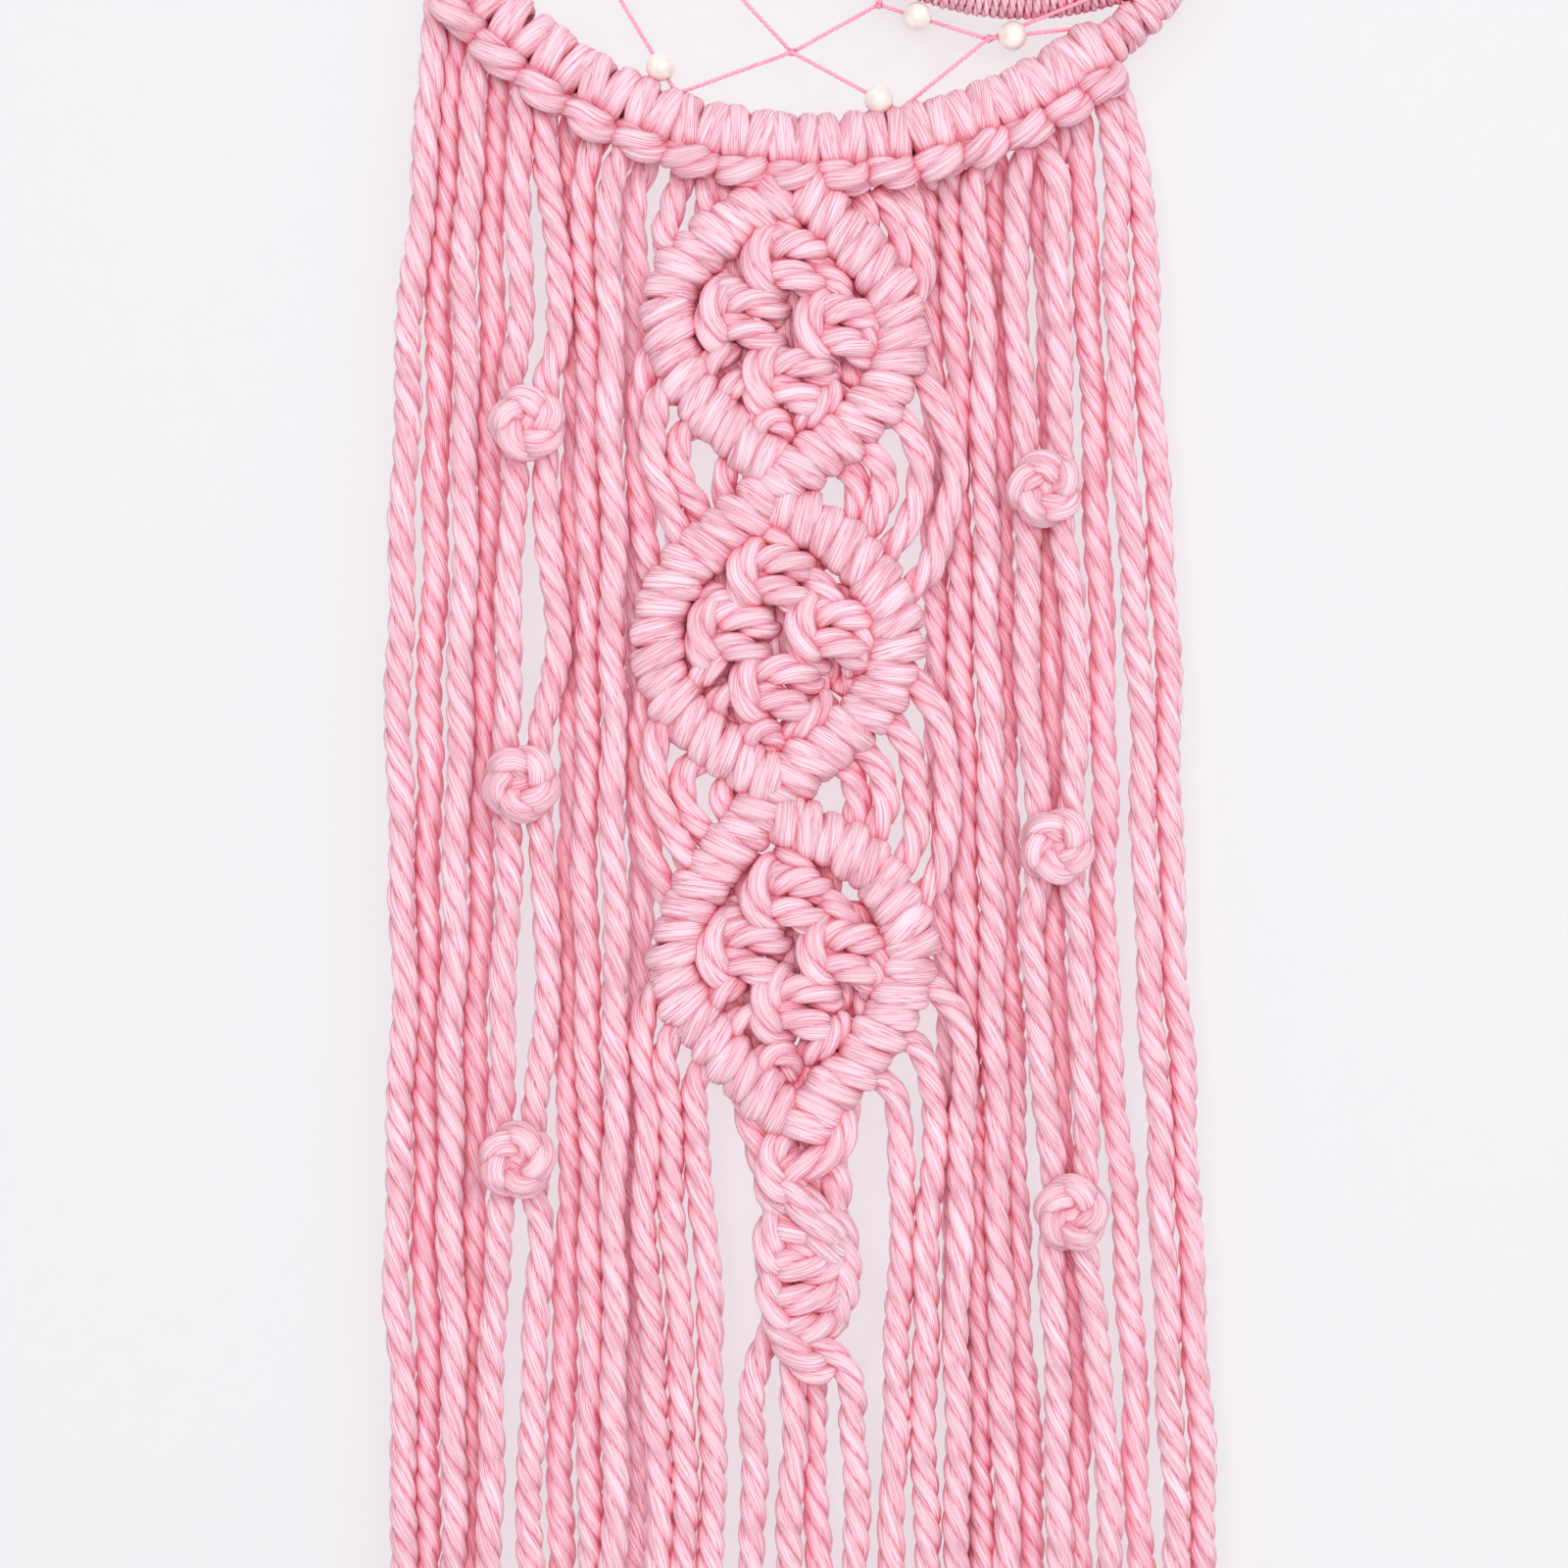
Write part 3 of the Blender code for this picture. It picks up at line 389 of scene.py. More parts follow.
def combed_cotton(name, crest, shaded_groove_pink, deep, fibre, bundle, relief, rough):
    made, tree, shader = new_material(name, COTTON_VALUES | {"Roughness": rough})
    places = add_node(tree, "UVMap", uv_map="fibre").outputs["UV"]
    fine = streaks(tree, places, FIBRE_RUN, bundle, 1.5)
    yarn = streaks(tree, places, YARN_RUN, 2.8 * bundle, 1.0)
    crests = add_node(tree, "Attribute", attribute_name="crest").outputs["Fac"]
    tones = add_node(tree, "Attribute", attribute_name="tone").outputs["Fac"]
    uneven = sums(tree, "MULTIPLY_ADD", yarn, 0.5, -0.25)
    height = sums(tree, "ADD", uneven, crests)
    toned = sums(tree, "MULTIPLY_ADD", tones, 0.06, height)
    # Painted light and shade: paler pink on the crests, deeper pink in the grooves. The yarn streaks and the
    # tone are the cotton's own uneven colour.
    body = ramped(tree, toned, (0.0, deep), (0.22, shaded_groove_pink), (0.75, crest))
    apart = sums(tree, "SUBTRACT", fine, 0.5)
    edge = sums(tree, "ABSOLUTE", apart)
    # The thin dark edge of each fibre bundle is painted shade between the fibres.
    fibre_edge_shade = ramped(tree, edge, (0.0, fibre), (FIBRE_LINE, WHITE))
    colour = multiplied(tree, 0.8, body, fibre_edge_shade)
    # Painted shade: an ambient occlusion node deepens the pink where cords crowd each other, as shaded
    # creases lit by pink bounced light.
    near = {"Distance": CREASE_SHADE_REACH * MM}
    open_share = add_node(tree, "AmbientOcclusion", near, samples=1).outputs["AO"]
    painted_crease_shade = ramped(tree, open_share, (0.15, CREASE_SHADE_PINK), (0.75, WHITE))
    tree.links.new(multiplied(tree, 1.0, colour, painted_crease_shade), shader.inputs["Base Color"])
    ridge = sums(tree, "MINIMUM", edge, 2 * FIBRE_LINE)
    both = sums(tree, "MULTIPLY_ADD", ridge, 5.0, yarn)
    bump = add_node(tree, "Bump", {"Height": both, "Strength": 1.0, "Distance": relief * MM})
    tree.links.new(bump.outputs["Normal"], shader.inputs["Normal"])
    return made


COTTON = combed_cotton("combed_cotton_pink", *CORD_PINKS, FIBRE_BUNDLE, FIBRE_RELIEF, COTTON_ROUGH)
THREAD = combed_cotton("waxed_thread_deep_pink", *THREAD_PINKS, THREAD_BUNDLE, THREAD_RELIEF, WAX_ROUGH)
print("crest pink:", [round(v, 3) for v in linear(CORD_PINKS[0])])

# %% Pearl
pearl_values = {
    "Roughness": 0.28,
    "IOR": 1.53,
    "Coat Weight": 1.0,
    "Coat IOR": 2.0,  # nacre plates in the lacquer reflect more than glass does
    "Coat Roughness": 0.08,  # so the lights show as small sharp spots
    "Subsurface Weight": 0.25,  # and the bead glows a little at its edges
    "Subsurface Radius": (1.0, 0.75, 0.6),
    "Subsurface Scale": 1.2 * MM,
}
pearl_finish, pearl_tree, pearl_shader = new_material("imitation_pearl_ivory", pearl_values)
bead_place = add_node(pearl_tree, "TexCoord").outputs["Object"]
cloudy = {"Vector": bead_place, "Scale": 420.0, "Detail": 2.0}
clouds = add_node(pearl_tree, "TexNoise", cloudy).outputs["Fac"]
nacre = ramped(pearl_tree, clouds, (0.35, "#E3D9D1"), (0.65, "#F1ECE7"))
pearl_tree.links.new(nacre, pearl_shader.inputs["Base Color"])
print("pearl made")

# %% [markdown]
# ## The lark's heads
# Each cord is folded in half and hitched on the ring: its two halves go over the ring, side by side, and
# its bight lies across them in front as a collar. The two turns are closed rings of flattened cord round
# the hoop, leaning in towards their collar, and the collar is a short bowed length of the same cord.

# %% Turns round a bar or ring
WRAP_LAY, TURN_STEP = 34.0, 1.05
HITCH_IN = 0.9  # the turns bulge towards the inside of the hoop
HITCH_REACH = 3.75  # from the middle of the bulge to the middle of the cord
COLLAR_R, COLLAR_LAY = 2.95, 20.0


def wrap(middle, axis, first, second, reach, lean=0.0, radius=CORD_R, wide=0.95, thin=0.66, points=16):
    """A closed turn of flattened cord about an axis, leaning along it towards the first direction."""
    turns = np.radians(np.arange(points) * 360 / points)
    around_it = np.cos(turns)[:, None] * first + np.sin(turns)[:, None] * second
    route = middle + reach * around_it + lean * np.cos(turns)[:, None] * axis
    uneven = {"loose": 0.07, "deep": 0.75}
    return laid(route, radius, WRAP_LAY, wide, thin, lambda p: p - middle, TURN_STEP, closed=True, **uneven)


def larks_head(number):
    angle = hitch_angle(number)
    half = half_hitch(number)
    cords = []
    for side in (-1, 1):
        turn_angle = angle + side * half / 2
        along, out, back = arc_axes(turn_angle)
        lean = -side * (0.75 + 0.25 * math.sin(3.7 * number + side))
        middle = on_hoop(turn_angle, -HITCH_IN)
        cords.append(wrap(middle, along, out, back, HITCH_REACH, lean, wide=1.12, thin=0.72))
    along, out, back = arc_axes(angle)
    middle = on_hoop(angle, 4.9)
    width = math.radians(half) * (HOOP_R + 5.0) - 0.7
    tip = 0.3 * math.sin(5.1 * number)
    bight = []
    for side in (-1, 1):
        lift = side * tip
        stops = ((width - 0.9, 2.4, -1.2), (width - 0.3, -1.4, lift - 0.5), (1.3, -4.2, lift + 0.3))
        half = [middle + side * far * along + deep * back + rise * out for far, deep, rise in stops]
        bight += half[::-side]
    inside = on_hoop(angle, 3.4, 1.6)
    cords.append(laid(bight, COLLAR_R, COLLAR_LAY, 1.0, 0.85, lambda p: p - inside, 0.8, ends=0.4))
    return cords


print("a hitch is", round(math.radians(hitch_angle(8.5) - hitch_angle(7.5)) * HOOP_R, 1), "mm wide")

# %% [markdown]
# ## The hanging cords
# Two cord ends hang from each hitch. Each follows a route from just behind its collar to the cut end of
# the fringe, with a few measured stops on the way, and sways a little between them as a soft cord does.

# %% Routes of the free strands
LEVELS = (83.6, 105, 157.4, 209.9, 262.4, 313.2, FRINGE)  # drops
OUTER_HITCHES = (1, 2, 3, 4, 5, 11, 12, 13, 14, 15)
# Two strands for each hitch: how far back one hangs, and how far right it is at each level.
STRANDS = (
    (0.6, -66.3, -68.2, -70.2, -69.5, -70.4, -69.5, -72),
    (3, -62.6, -63.6, -64.8, -65.8, -65.8, -65.8, -67.4),
    (0.4, -58.5, -59.2, -59.5, -61.2, -61.5, -61, -62.9),
    (3.6, -54.3, -55.1, -55.9, -57.2, -57.9, -58.2, -58.4),
    (0.2, -50, -50.2, -51.7, -52.2, -54.1, -54.8, -53.6),
    (0.6, -45.1, -43.3, -43.8, -44.9, -46.6, -48.4, -48.8),
    (4.2, -42.1, -40.8, -41.2, -41.8, -42, -43.5, -43),
    (1.2, -39.8, -38.5, -38.5, -38.9, -37.7, -38.5, -39.4),
    (-0.9, -34.9, -34.7, -34.4, -34, -34, -34.3, -35),
    (4.8, -30.7, -30.7, -30.3, -30, -31.2, -30.8, -31.4),
    (4.9, 18.8, 19.2, 20, 21.5, 23, 23.8, 24),
    (3, 22.1, 23.1, 24.1, 25.1, 26.7, 27.6, 28.4),
    (1, 25.8, 27.4, 28.4, 29.2, 30.2, 31.7, 32.8),
    (4.4, 29.4, 30.3, 31.3, 32, 33.6, 35.9, 37),
    (0.5, 33, 33.5, 34.6, 35.6, 36.7, 40.2, 41.6),
    (0, 40.2, 40.2, 43.3, 43.6, 47.4, 49, 50.8),
    (4.1, 37.6, 38.9, 39.2, 39.7, 42, 44, 46),
    (3, 44.4, 45.4, 47.7, 48.2, 51.8, 54.1, 55.8),
    (0.2, 49.9, 50, 53.3, 55.4, 57.9, 59.9, 61.2),
    (1.6, 54.1, 55.1, 58.2, 59.7, 62.6, 64.6, 66.4),
)
# Button knots: the hitch whose two strands tie it, how far right, drop.
BUTTONS = (
    (3, -48.4, 121.9), (3, -49.5, 182), (3, -50.3, 244.7),
    (13, 37.7, 132.8), (13, 39.7, 192.4), (13, 42.1, 253.5),
)
BUTTON_FREE, BUTTON_HALF = 14.0, 7.0  # mm above and below a knot without other stops, and to its ends
CLEAR = 0.45  # mm from a strand to the next hitch


def hitch_foot(number, side, back):
    angle = hitch_angle(number) + side * (half_hitch(number) - math.degrees((2.0 + CLEAR) / (HOOP_R + 4.0)))
    return [on_hoop(angle, 3.9, 0.9), on_hoop(angle, 7.6, 0.2 * 0.9 + 0.8 * back)]


def fringe_end(index):
    """The strands are cut by hand, so their ends lie a few millimetres apart."""
    return FRINGE - 2.0 + 2.0 * math.sin(2.4 * index)


def swayed(points, index, most=0.3):
    """A soft cord never hangs quite straight: slow waves to either side, none at its ends."""
    line = even(points, 3.0)
    down = np.linspace(0, len(line) * 3.0, len(line))
    calm = np.minimum(1.0, np.minimum(down, down[::-1]) / 15.0)
    line[:, 0] += most * calm * (np.sin(down / 5.2 + 1.7 * index) + 0.6 * np.sin(down / 12.1 + index))
    line[:, 1] += 0.5 * most * calm * np.sin(down / 7.4 + 2.3 * index)
    return line


def free_strand(index, number, side, back, rights):
    stops = [(drop, right) for drop, right in zip(LEVELS[:-1], rights[:-1])]
    stops.append((fringe_end(index), rights[-1]))
    for owner, right, drop in BUTTONS:
        if owner == number:
            stops = [stop for stop in stops if abs(stop[0] - drop) > BUTTON_FREE]
            stops += [(drop - BUTTON_HALF, right + side * 2.9), (drop + BUTTON_HALF, right + side * 2.6)]
    if number == 3:  # its right strand goes straight to the first knot
        stops = [stop for stop in stops if stop[0] != LEVELS[0] or side < 0]
    points = hitch_foot(number, side, back) + [place(right, back, drop) for drop, right in sorted(stops)]
    return laid(swayed(points, index), step=1.0)


print("free strands:", len(STRANDS))

# %% [markdown]
# ## Button knots
# Three small round knots sit on the third cord from each side. From the front each shows five short
# lengths of cord that follow each other like a pinwheel, and a bit of a sixth one in the middle.

# %% Button knots
BUTTON_ARCS = 5
# One arc of the pinwheel: distance from the middle, turn in degrees, back. It ends under its neighbour.
BUTTON_ARC = (
    (3.6, -52, 1), (4.3, -34, -2), (4.5, -10, -4.6), (3.9, 14, -5.4), (2.9, 38, -4.4), (2.2, 60, -2),
)
# The cord in the middle, as (along, back).
BUTTON_CORE = ((-3.4, 0.4), (-1.8, -2.6), (0, -3.9), (1.8, -2.6), (3.4, 0.4))
BUTTON_R, BUTTON_LAY, BUTTON_RING_R = 2.3, 24.0, 3.6  # the cord pulled tight, and the ring behind the arcs
BUTTON_DEPTH = 2.5  # how far back the middle of the ball lies


def button(right, drop, turned):
    middle = place(right, 0.0, drop)
    inside = middle + BUTTON_DEPTH * BACK
    cords = []
    for k in range(BUTTON_ARCS):
        route = []
        for reach, turn, back in BUTTON_ARC:
            angle = math.radians(turn + turned + 360 * k / BUTTON_ARCS)
            route.append(middle + np.array((-reach * math.sin(angle), back, -reach * math.cos(angle))))
        cords.append(laid(route, BUTTON_R, BUTTON_LAY, 1.05, 0.95, lambda p: p - inside, 0.7, deep=0.8))
    turns = np.radians(np.arange(10) * 36)[:, None]
    ring = middle + BUTTON_RING_R * (np.sin(turns) * RIGHT - np.cos(turns) * UP)
    cords.append(laid(ring + 0.8 * BACK, BUTTON_R, LAY, closed=True))
    under = math.radians(turned)
    leaning = math.sin(under) * RIGHT + math.cos(under) * UP
    core = [middle + leaning * along + back * BACK for along, back in BUTTON_CORE]
    cords.append(laid(core, 2.2, BUTTON_LAY, 1.2, 0.95, step=0.7, deep=0.8))
    return cords


# %% Make the outer cords
for order, number in enumerate(OUTER_HITCHES):
    cords = larks_head(number)
    for index, side in ((2 * order, -1), (2 * order + 1, 1)):
        back, *rights = STRANDS[index]
        cords.append(free_strand(index, number, side, back, rights))
    for count, (owner, right, drop) in enumerate(BUTTONS):
        if owner == number:
            cords += button(right, drop, 30 + 47 * count)
    piece_of(f"cord_{number:02d}", cords, COTTON)

# %% [markdown]
# ## Hitched bars
# The sides of the three diamonds are bars: one cord is held tight, and each of the others is hitched
# round it twice. So a bar looks like a close row of short turns. Each turn is a closed ring of flattened
# cord, and the row follows the bar's measured line.

# %% Bars
# Each bar: how far back it lies, and its line as (right, drop).
BARS = (
    (-1.4, ((-7.2, 84.6), (-15.9, 89.7), (-23.7, 97.6), (-25, 105), (-20.8, 116.4), (-8.9, 128.1))),
    (-1.7, ((-1.2, 84.2), (6.2, 92), (12.5, 100.9), (13.7, 109.6), (8.6, 119.8), (-1.8, 128.2),
           (-13.8, 138.4), (-23, 146.9), (-26.9, 157.6), (-23, 169.8), (-8.6, 181.4))),
    (-1.5, ((-5.5, 135.3), (5.7, 143.4), (12.3, 153), (12.9, 160.4), (8.3, 169.8), (-1.8, 178.5),
           (-13.6, 191.2), (-21, 201.6), (-23.9, 213), (-18.9, 223), (-6.4, 236.4))),
    (-1.8, ((-5.2, 187.9), (7.4, 194.6), (13.8, 204), (15.4, 211.4), (10.3, 223.5), (-2.6, 238.8))),
)
WRAP_PITCH, BAR_REACH = 4.1, 3.15


def bar(back, points):
    line = even([place(right, back, drop) for right, drop in points], WRAP_PITCH)
    ways = unit(np.gradient(line, axis=0))
    cords = []
    for count, (middle, way) in enumerate(zip(line, ways)):
        across = np.cross(way, FRONT)
        reach = BAR_REACH + 0.22 * math.sin(2.7 * count)
        lean = 1.0 + 0.4 * math.sin(1.9 * count)
        cords.append(wrap(middle, way, across, FRONT, reach, lean, wide=1.12, thin=0.74))
    return cords


panel = []
for back, points in BARS:
    panel += bar(back, points)
print("turns on the bars:", len(panel))

# %% [markdown]
# ## Square knots
# Inside each diamond are four square knots. Each shows a bowed loop on its left and two cords that go to
# the right, one upwards and one downwards, over the pair of cords they are tied round.

# %% Square knots
# The middles of the knots in each diamond, as (right, drop).
SQUARE_KNOTS = (
    ((-5.6, 95.4), (-13.4, 104.6), (2.8, 106.4), (-5.6, 115.1)),
    ((-8.2, 147.9), (-15.1, 157.4), (1.6, 156.8), (-7.8, 166.3)),
    ((-5.7, 201.4), (-13.2, 210.3), (3.5, 210.6), (-4.4, 219.3)),
)
# One square knot's cords, as (right, back, up) from its middle.
KNOT_CORDS = (
    ((-0.8, 1.2, 5), (-2.2, -2.4, 5.2), (-4.2, -4, 2.8))
    + ((-4.6, -4.2, -0.4), (-3.6, -3.6, -3.6), (-1.2, 0.2, -5.6)),
    ((-4.2, 0.8, 2.4), (-1.6, -2.9, 3.2), (1.8, -4.1, 3.3), (4.8, -3.2, 2.4), (7, -0.2, 0.9)),
    ((-4.2, 0.8, 0), (-1.6, -2.9, -1), (1.6, -4.1, -2), (4.4, -3.4, -3.4), (6.8, -0.2, -5.2)),
)
# Cords behind the knots: where each starts on the upper bars and ends on the lower ones, as shares.
FILLERS = (
    ((-0.84, -0.16), (-0.66, 0.34)), ((-0.7, -0.3), (-0.4, 0.6)),
    ((-0.56, -0.44), (-0.1, 0.9)), ((-0.3, -0.7), (-0.72, 0.28)),
    ((0, -0.96), (0.3, 0.7)), ((0.34, -0.66), (-0.36, 0.64)),
    ((0.62, -0.38), (0.06, 0.94)), ((0.84, -0.16), (0.62, 0.38)),
)
# Short bends of cord between the knots and the bars: right, back and drop from the diamond's middle.
BENDS = (
    ((-13.6, 0.6, 7), (-12.4, -2, 5.4), (-10.4, -2.4, 3.8), (-9, 0.4, 3)),
    ((-10.4, 0.6, 12), (-9.4, -2, 9.8), (-7, -2, 8.4), (-5.4, 0.4, 9)),
    ((-5.4, 0.6, 18.4), (-4.6, -2.2, 15.8), (-2.4, -2.6, 14.6), (-0.4, -1, 16), (-0.6, 0.8, 18.6)),
    ((2, 0.6, 15.2), (4.4, -2, 14), (6.8, -2.2, 12), (8.4, 0.2, 9.4)),
    ((-12, 0.6, -5.6), (-10.2, -1.6, -7.4), (-8, -1.4, -7), (-6.4, 0.6, -5.4)),
    ((4, 0.6, -12), (7, -1.6, -9.8), (9.4, -2, -6.8), (9.6, 0.2, -4)),
    ((-1.4, 0.6, -19.6), (-0.2, -1.6, -17.8), (1.4, -1.4, -16), (1.6, 0.6, -14)),
    ((12, 0.6, -3.4), (14, -1.6, -1), (14.2, -1.6, 2.2), (12.2, 0.6, 4.4)),
)
# Each diamond: right and drop of its middle, half its width and half its height.
DIAMONDS = ((-5.6, 106.5, 19, 23.5), (-7, 158.3, 19.6, 23.6), (-4.3, 212, 19.4, 25))
FILLER_BACK, BEND_LAY = 1.0, 12.0
KNOT_LAYS = (20.0, 13.0, 13.0)  # two of a knot's cords are twisted tighter


def to_the_front(points):
    return np.tile(FRONT, (len(points), 1))


def square_knot(right, drop):
    cords = []
    for lay, turn in zip(KNOT_LAYS, KNOT_CORDS):
        route = [place(right + x, y, drop - z) for x, y, z in turn]
        cords.append(laid(route, KNOT_R, lay, 1.08, 0.9, to_the_front, 0.8))
    return cords


def diamond_fillers(diamond):
    right, drop, half_width, half_height = diamond
    cords = []
    for ends in FILLERS:
        high, low = [place(right + x * half_width, FILLER_BACK, drop + z * half_height) for x, z in ends]
        route = [high, (2 * high + low) / 3, (high + 2 * low) / 3, low]
        cords.append(laid(route, wide=1.4, step=1.2))
    for bend in BENDS:
        route = [place(right + x, y - 0.8, drop + z) for x, y, z in bend]
        cords.append(laid(route, CORD_R, BEND_LAY, step=0.8))
    return cords


for diamond, knots in zip(DIAMONDS, SQUARE_KNOTS):
    panel += diamond_fillers(diamond)
    for right, drop in knots:
        panel += square_knot(right, drop)
print("cords in the panel so far:", len(panel))

# %% [markdown]
# ## Working cords
# Between the knots the cords show again: from the hitches into the first diamond, as loops beside the
# waists between the diamonds, and down from the last one. Below it a short row of half knots winds round
# itself as a spiral, and its last cord crosses to the right.

# %% Working cords
# Each cord as (right, back, drop) stops.
ENTRY = (
    ((-22.6, 1, 80), (-24.8, 0.4, 86.5), (-25.6, -0.6, 91.5), (-22.4, -1.4, 96)),
    ((-18.2, 1, 80.6), (-18.6, 0, 85.5), (-17.8, -1, 90.6)),
    ((-14.8, 1, 81.6), (-14.6, -0.2, 85), (-13.2, -1.2, 88.4)),
    ((-10.6, 1, 82), (-10.8, -0.4, 84.6), (-10.4, -1.2, 86.8)),
    ((2.2, 1, 82.6), (3.2, -0.2, 86), (3.4, -1.2, 89.6)),
    ((6.6, 1, 82.6), (8, 0, 87.2), (8, -1.2, 92.8)),
    ((10.4, 1, 82.4), (13, 0.2, 87.6), (13.6, -0.6, 93), (11.4, -1.4, 98.4)),
    ((13.8, 0.6, 81), (16.4, 0.2, 89), (17.4, 0, 97.5), (13.6, -1.4, 103.6)),
)
FIRST_LOOPS = (
    ((-24.8, -1.2, 107.6), (-28.8, 0.4, 112), (-30, 1.6, 121), (-30.1, 1.6, 129.6),
     (-29.6, 1.2, 136), (-28.6, 0, 144), (-25.8, -1.4, 151.6)),
    ((-22.4, -1.5, 113.6), (-26.4, -2.2, 117.4), (-27.6, -2.3, 123), (-27.2, -2.3, 129.6),
     (-24.9, -2.2, 135.8), (-22.8, -1.8, 142), (-20.6, -1.5, 145)),
    ((-17, -1.5, 120.5), (-22, -1, 122.8), (-23.6, -0.8, 126.6), (-23, -0.8, 131.2),
     (-20.2, -1, 136), (-17.4, -1.5, 141)),
    ((-12, -1.5, 125.2), (-15.4, 0.2, 129.6), (-15.6, 0.2, 133.4), (-13.6, -1.5, 138.4)),
    ((1.4, -1.5, 125.8), (5.4, 0.2, 129.8), (6.7, 0.4, 133.5), (5.6, 0.2, 137.5), (2.4, -1.5, 141.2)),
    ((4.6, -1.5, 123.2), (9.2, -1.4, 127), (11, -1.4, 131.2), (10.2, -1.4, 135.8), (5.8, -1.5, 143)),
    ((10.2, -1.5, 118), (14, -1.2, 121.2), (16.8, -1, 126.4), (17.1, -1, 131.5),
     (15.8, -1.2, 137), (12.6, -1.4, 142), (9, -1.5, 146.6)),
    ((13.4, -1.6, 111), (17.6, -1.2, 114.2), (20.6, -0.8, 120), (22.6, -0.8, 126.5),
     (22.7, -0.8, 131.5), (20.8, -0.8, 139), (18.6, -1, 146), (12.2, -1.5, 152.2)),
)
SECOND_LOOPS = (
    ((-25.6, -1.5, 163.4), (-28.8, 0.2, 167.6), (-29.9, 1.6, 175), (-29.9, 1.6, 184),
     (-29, 1.2, 190.5), (-27.2, 0, 196.4), (-22.8, -1.5, 204.4)),
    ((-23, -1.5, 169.4), (-26.6, -2.1, 173), (-27.4, -2.3, 178.5), (-26.8, -2.3, 184),
     (-24.4, -2.1, 190), (-21.4, -1.7, 195), (-17.8, -1.5, 197.6)),
    ((-16, -1.5, 176.8), (-21, -1, 178.6), (-22.8, -0.8, 182.2), (-22, -0.8, 186.2),
     (-19, -1, 190.2), (-14.6, -1.5, 193)),
    ((-12, -1.5, 179.4), (-15.6, 0.2, 182.8), (-15.4, 0.2, 186.4), (-11.8, -1.5, 190.4)),
    ((0.6, -1.5, 176), (5.2, 0.2, 180), (6.6, 0.4, 184.6), (5.6, 0.2, 189), (2.4, -1.5, 192.6)),
    ((3.6, -1.5, 174.2), (8.6, -1.4, 177.4), (10.8, -1.4, 181.6), (11, -1.4, 186.6), (7, -1.5, 194.4)),
    ((8.8, -1.5, 169.2), (13, -1.2, 172.6), (15.6, -1, 177.4), (16.4, -1, 184),
     (16.4, -1.2, 189.6), (14.4, -1.3, 195.2), (10.2, -1.5, 198.6)),
    ((12.6, -1.5, 162.4), (17, -1.2, 166), (20.4, -0.8, 171.8), (21.4, -0.8, 180),
     (21.5, -0.8, 189), (20, -1, 197), (14, -1.5, 205.2)),
)
HANGING = (
    ((-23.8, -1.4, 214), (-28.4, -0.6, 218.4), (-29.6, -0.4, 226), (-28.6, -0.8, 240),
     (-28.7, -0.8, 262.4), (-26.6, -0.8, 313.2), (-27.2, -0.8, FRINGE)),
    ((-20.6, -1.4, 220.8), (-25, -1, 224.8), (-25.6, -0.8, 231), (-24.6, -0.8, 242),
     (-23.9, -0.6, 262.4), (-22.4, -0.6, 313.2), (-22.9, -0.6, FRINGE)),
    ((-15.6, -1.4, 227), (-20.2, -0.8, 230.4), (-20.8, -0.6, 235.4), (-19.8, -0.4, 246),
     (-18.7, 0, 262.4), (-17.7, 0, 313.2), (-18.2, 0, FRINGE)),
    ((6, -1.4, 229.4), (11, -0.8, 231.6), (13.4, -0.4, 235.6), (14.2, 0, 244), (13.6, 0, 262.4),
     (12.6, 0, 313.2), (12.9, 0, FRINGE)),
    ((10.8, -1.4, 223), (16, -0.8, 225.2), (18.6, -0.6, 230), (19.4, -0.4, 240),
     (18, -0.2, 262.4), (18, 0, 313.2), (18.4, 0, FRINGE)),
    ((15, -1.6, 214), (20.6, -1.2, 217.2), (23.4, -1, 222), (24.2, -0.8, 233),
     (23.5, -0.8, 262.4), (23.1, -0.8, 313.2), (23.6, -0.8, FRINGE)),
)
SPIRAL = (
    ((-12.4, 1.8, 231), (-11.4, 0.2, 237), (-9.4, -1, 243.6), (-8.2, -1.4, 248.4),
     (-7, -1.4, 252), (-5.2, -0.6, 255)),
    ((3, 1.8, 231.6), (4.4, -1.2, 237.6), (2.8, -2.6, 242.6), (-0.8, -3.4, 245), (-5.6, -2.2, 246.6)),
    ((-4.6, -0.6, 242.2), (-6.6, -2.8, 242), (-8.1, -3.2, 245), (-7.2, -3.4, 249),
     (-4.6, -2, 251.6)),
    ((-6.4, -1.8, 247), (-3.8, -3.6, 250.6), (-0.4, -4.2, 255.8), (1.8, -3.4, 259.8),
     (2.6, -1, 262.4)),
    ((-4.6, -1.4, 249), (-1.4, -3.2, 252.4), (1.6, -3.4, 256.8), (3.2, -2, 260.4)),
    ((-7.6, -0.6, 255.4), (-5, -2.8, 256.4), (-1.4, -2.8, 258.8), (1.2, -1, 261)),
    ((-6.2, -0.8, 252.6), (-7.9, -2.4, 256.6), (-8.1, -2.6, 260.8), (-6.6, -1.4, 264.4)),
    ((0.6, -0.4, 252.6), (3.4, -1.8, 255.8), (4.5, -2.2, 261.6), (4, -2, 267.4), (2, -0.8, 271.6)),
    ((-7.8, -1.2, 261.6), (-4.6, -3.4, 262.2), (0.2, -3.4, 262.6), (3.4, -1.8, 261)),
    ((-7.2, -0.8, 263.2), (-7.9, -2.4, 266), (-7, -2.8, 270.4), (-5, -1.6, 274.6)),
    ((-7.4, -1.2, 267.2), (-4.2, -3.4, 267.8), (0.6, -3.4, 267.4), (3.6, -1.6, 266)),
    ((-6.4, -0.8, 271.8), (-3, -2.8, 272.8), (0.6, -2.6, 272.4), (3, -0.8, 270.8)),
    ((-7.2, -1, 270.2), (-5.6, -3, 274.4), (-2.6, -3.8, 278), (1.6, -1.8, 280.2)),
    ((1.4, 0.6, 243.4), (2.8, -0.6, 247.6), (2.6, -0.8, 252), (1.2, 0.2, 255.4)),
)
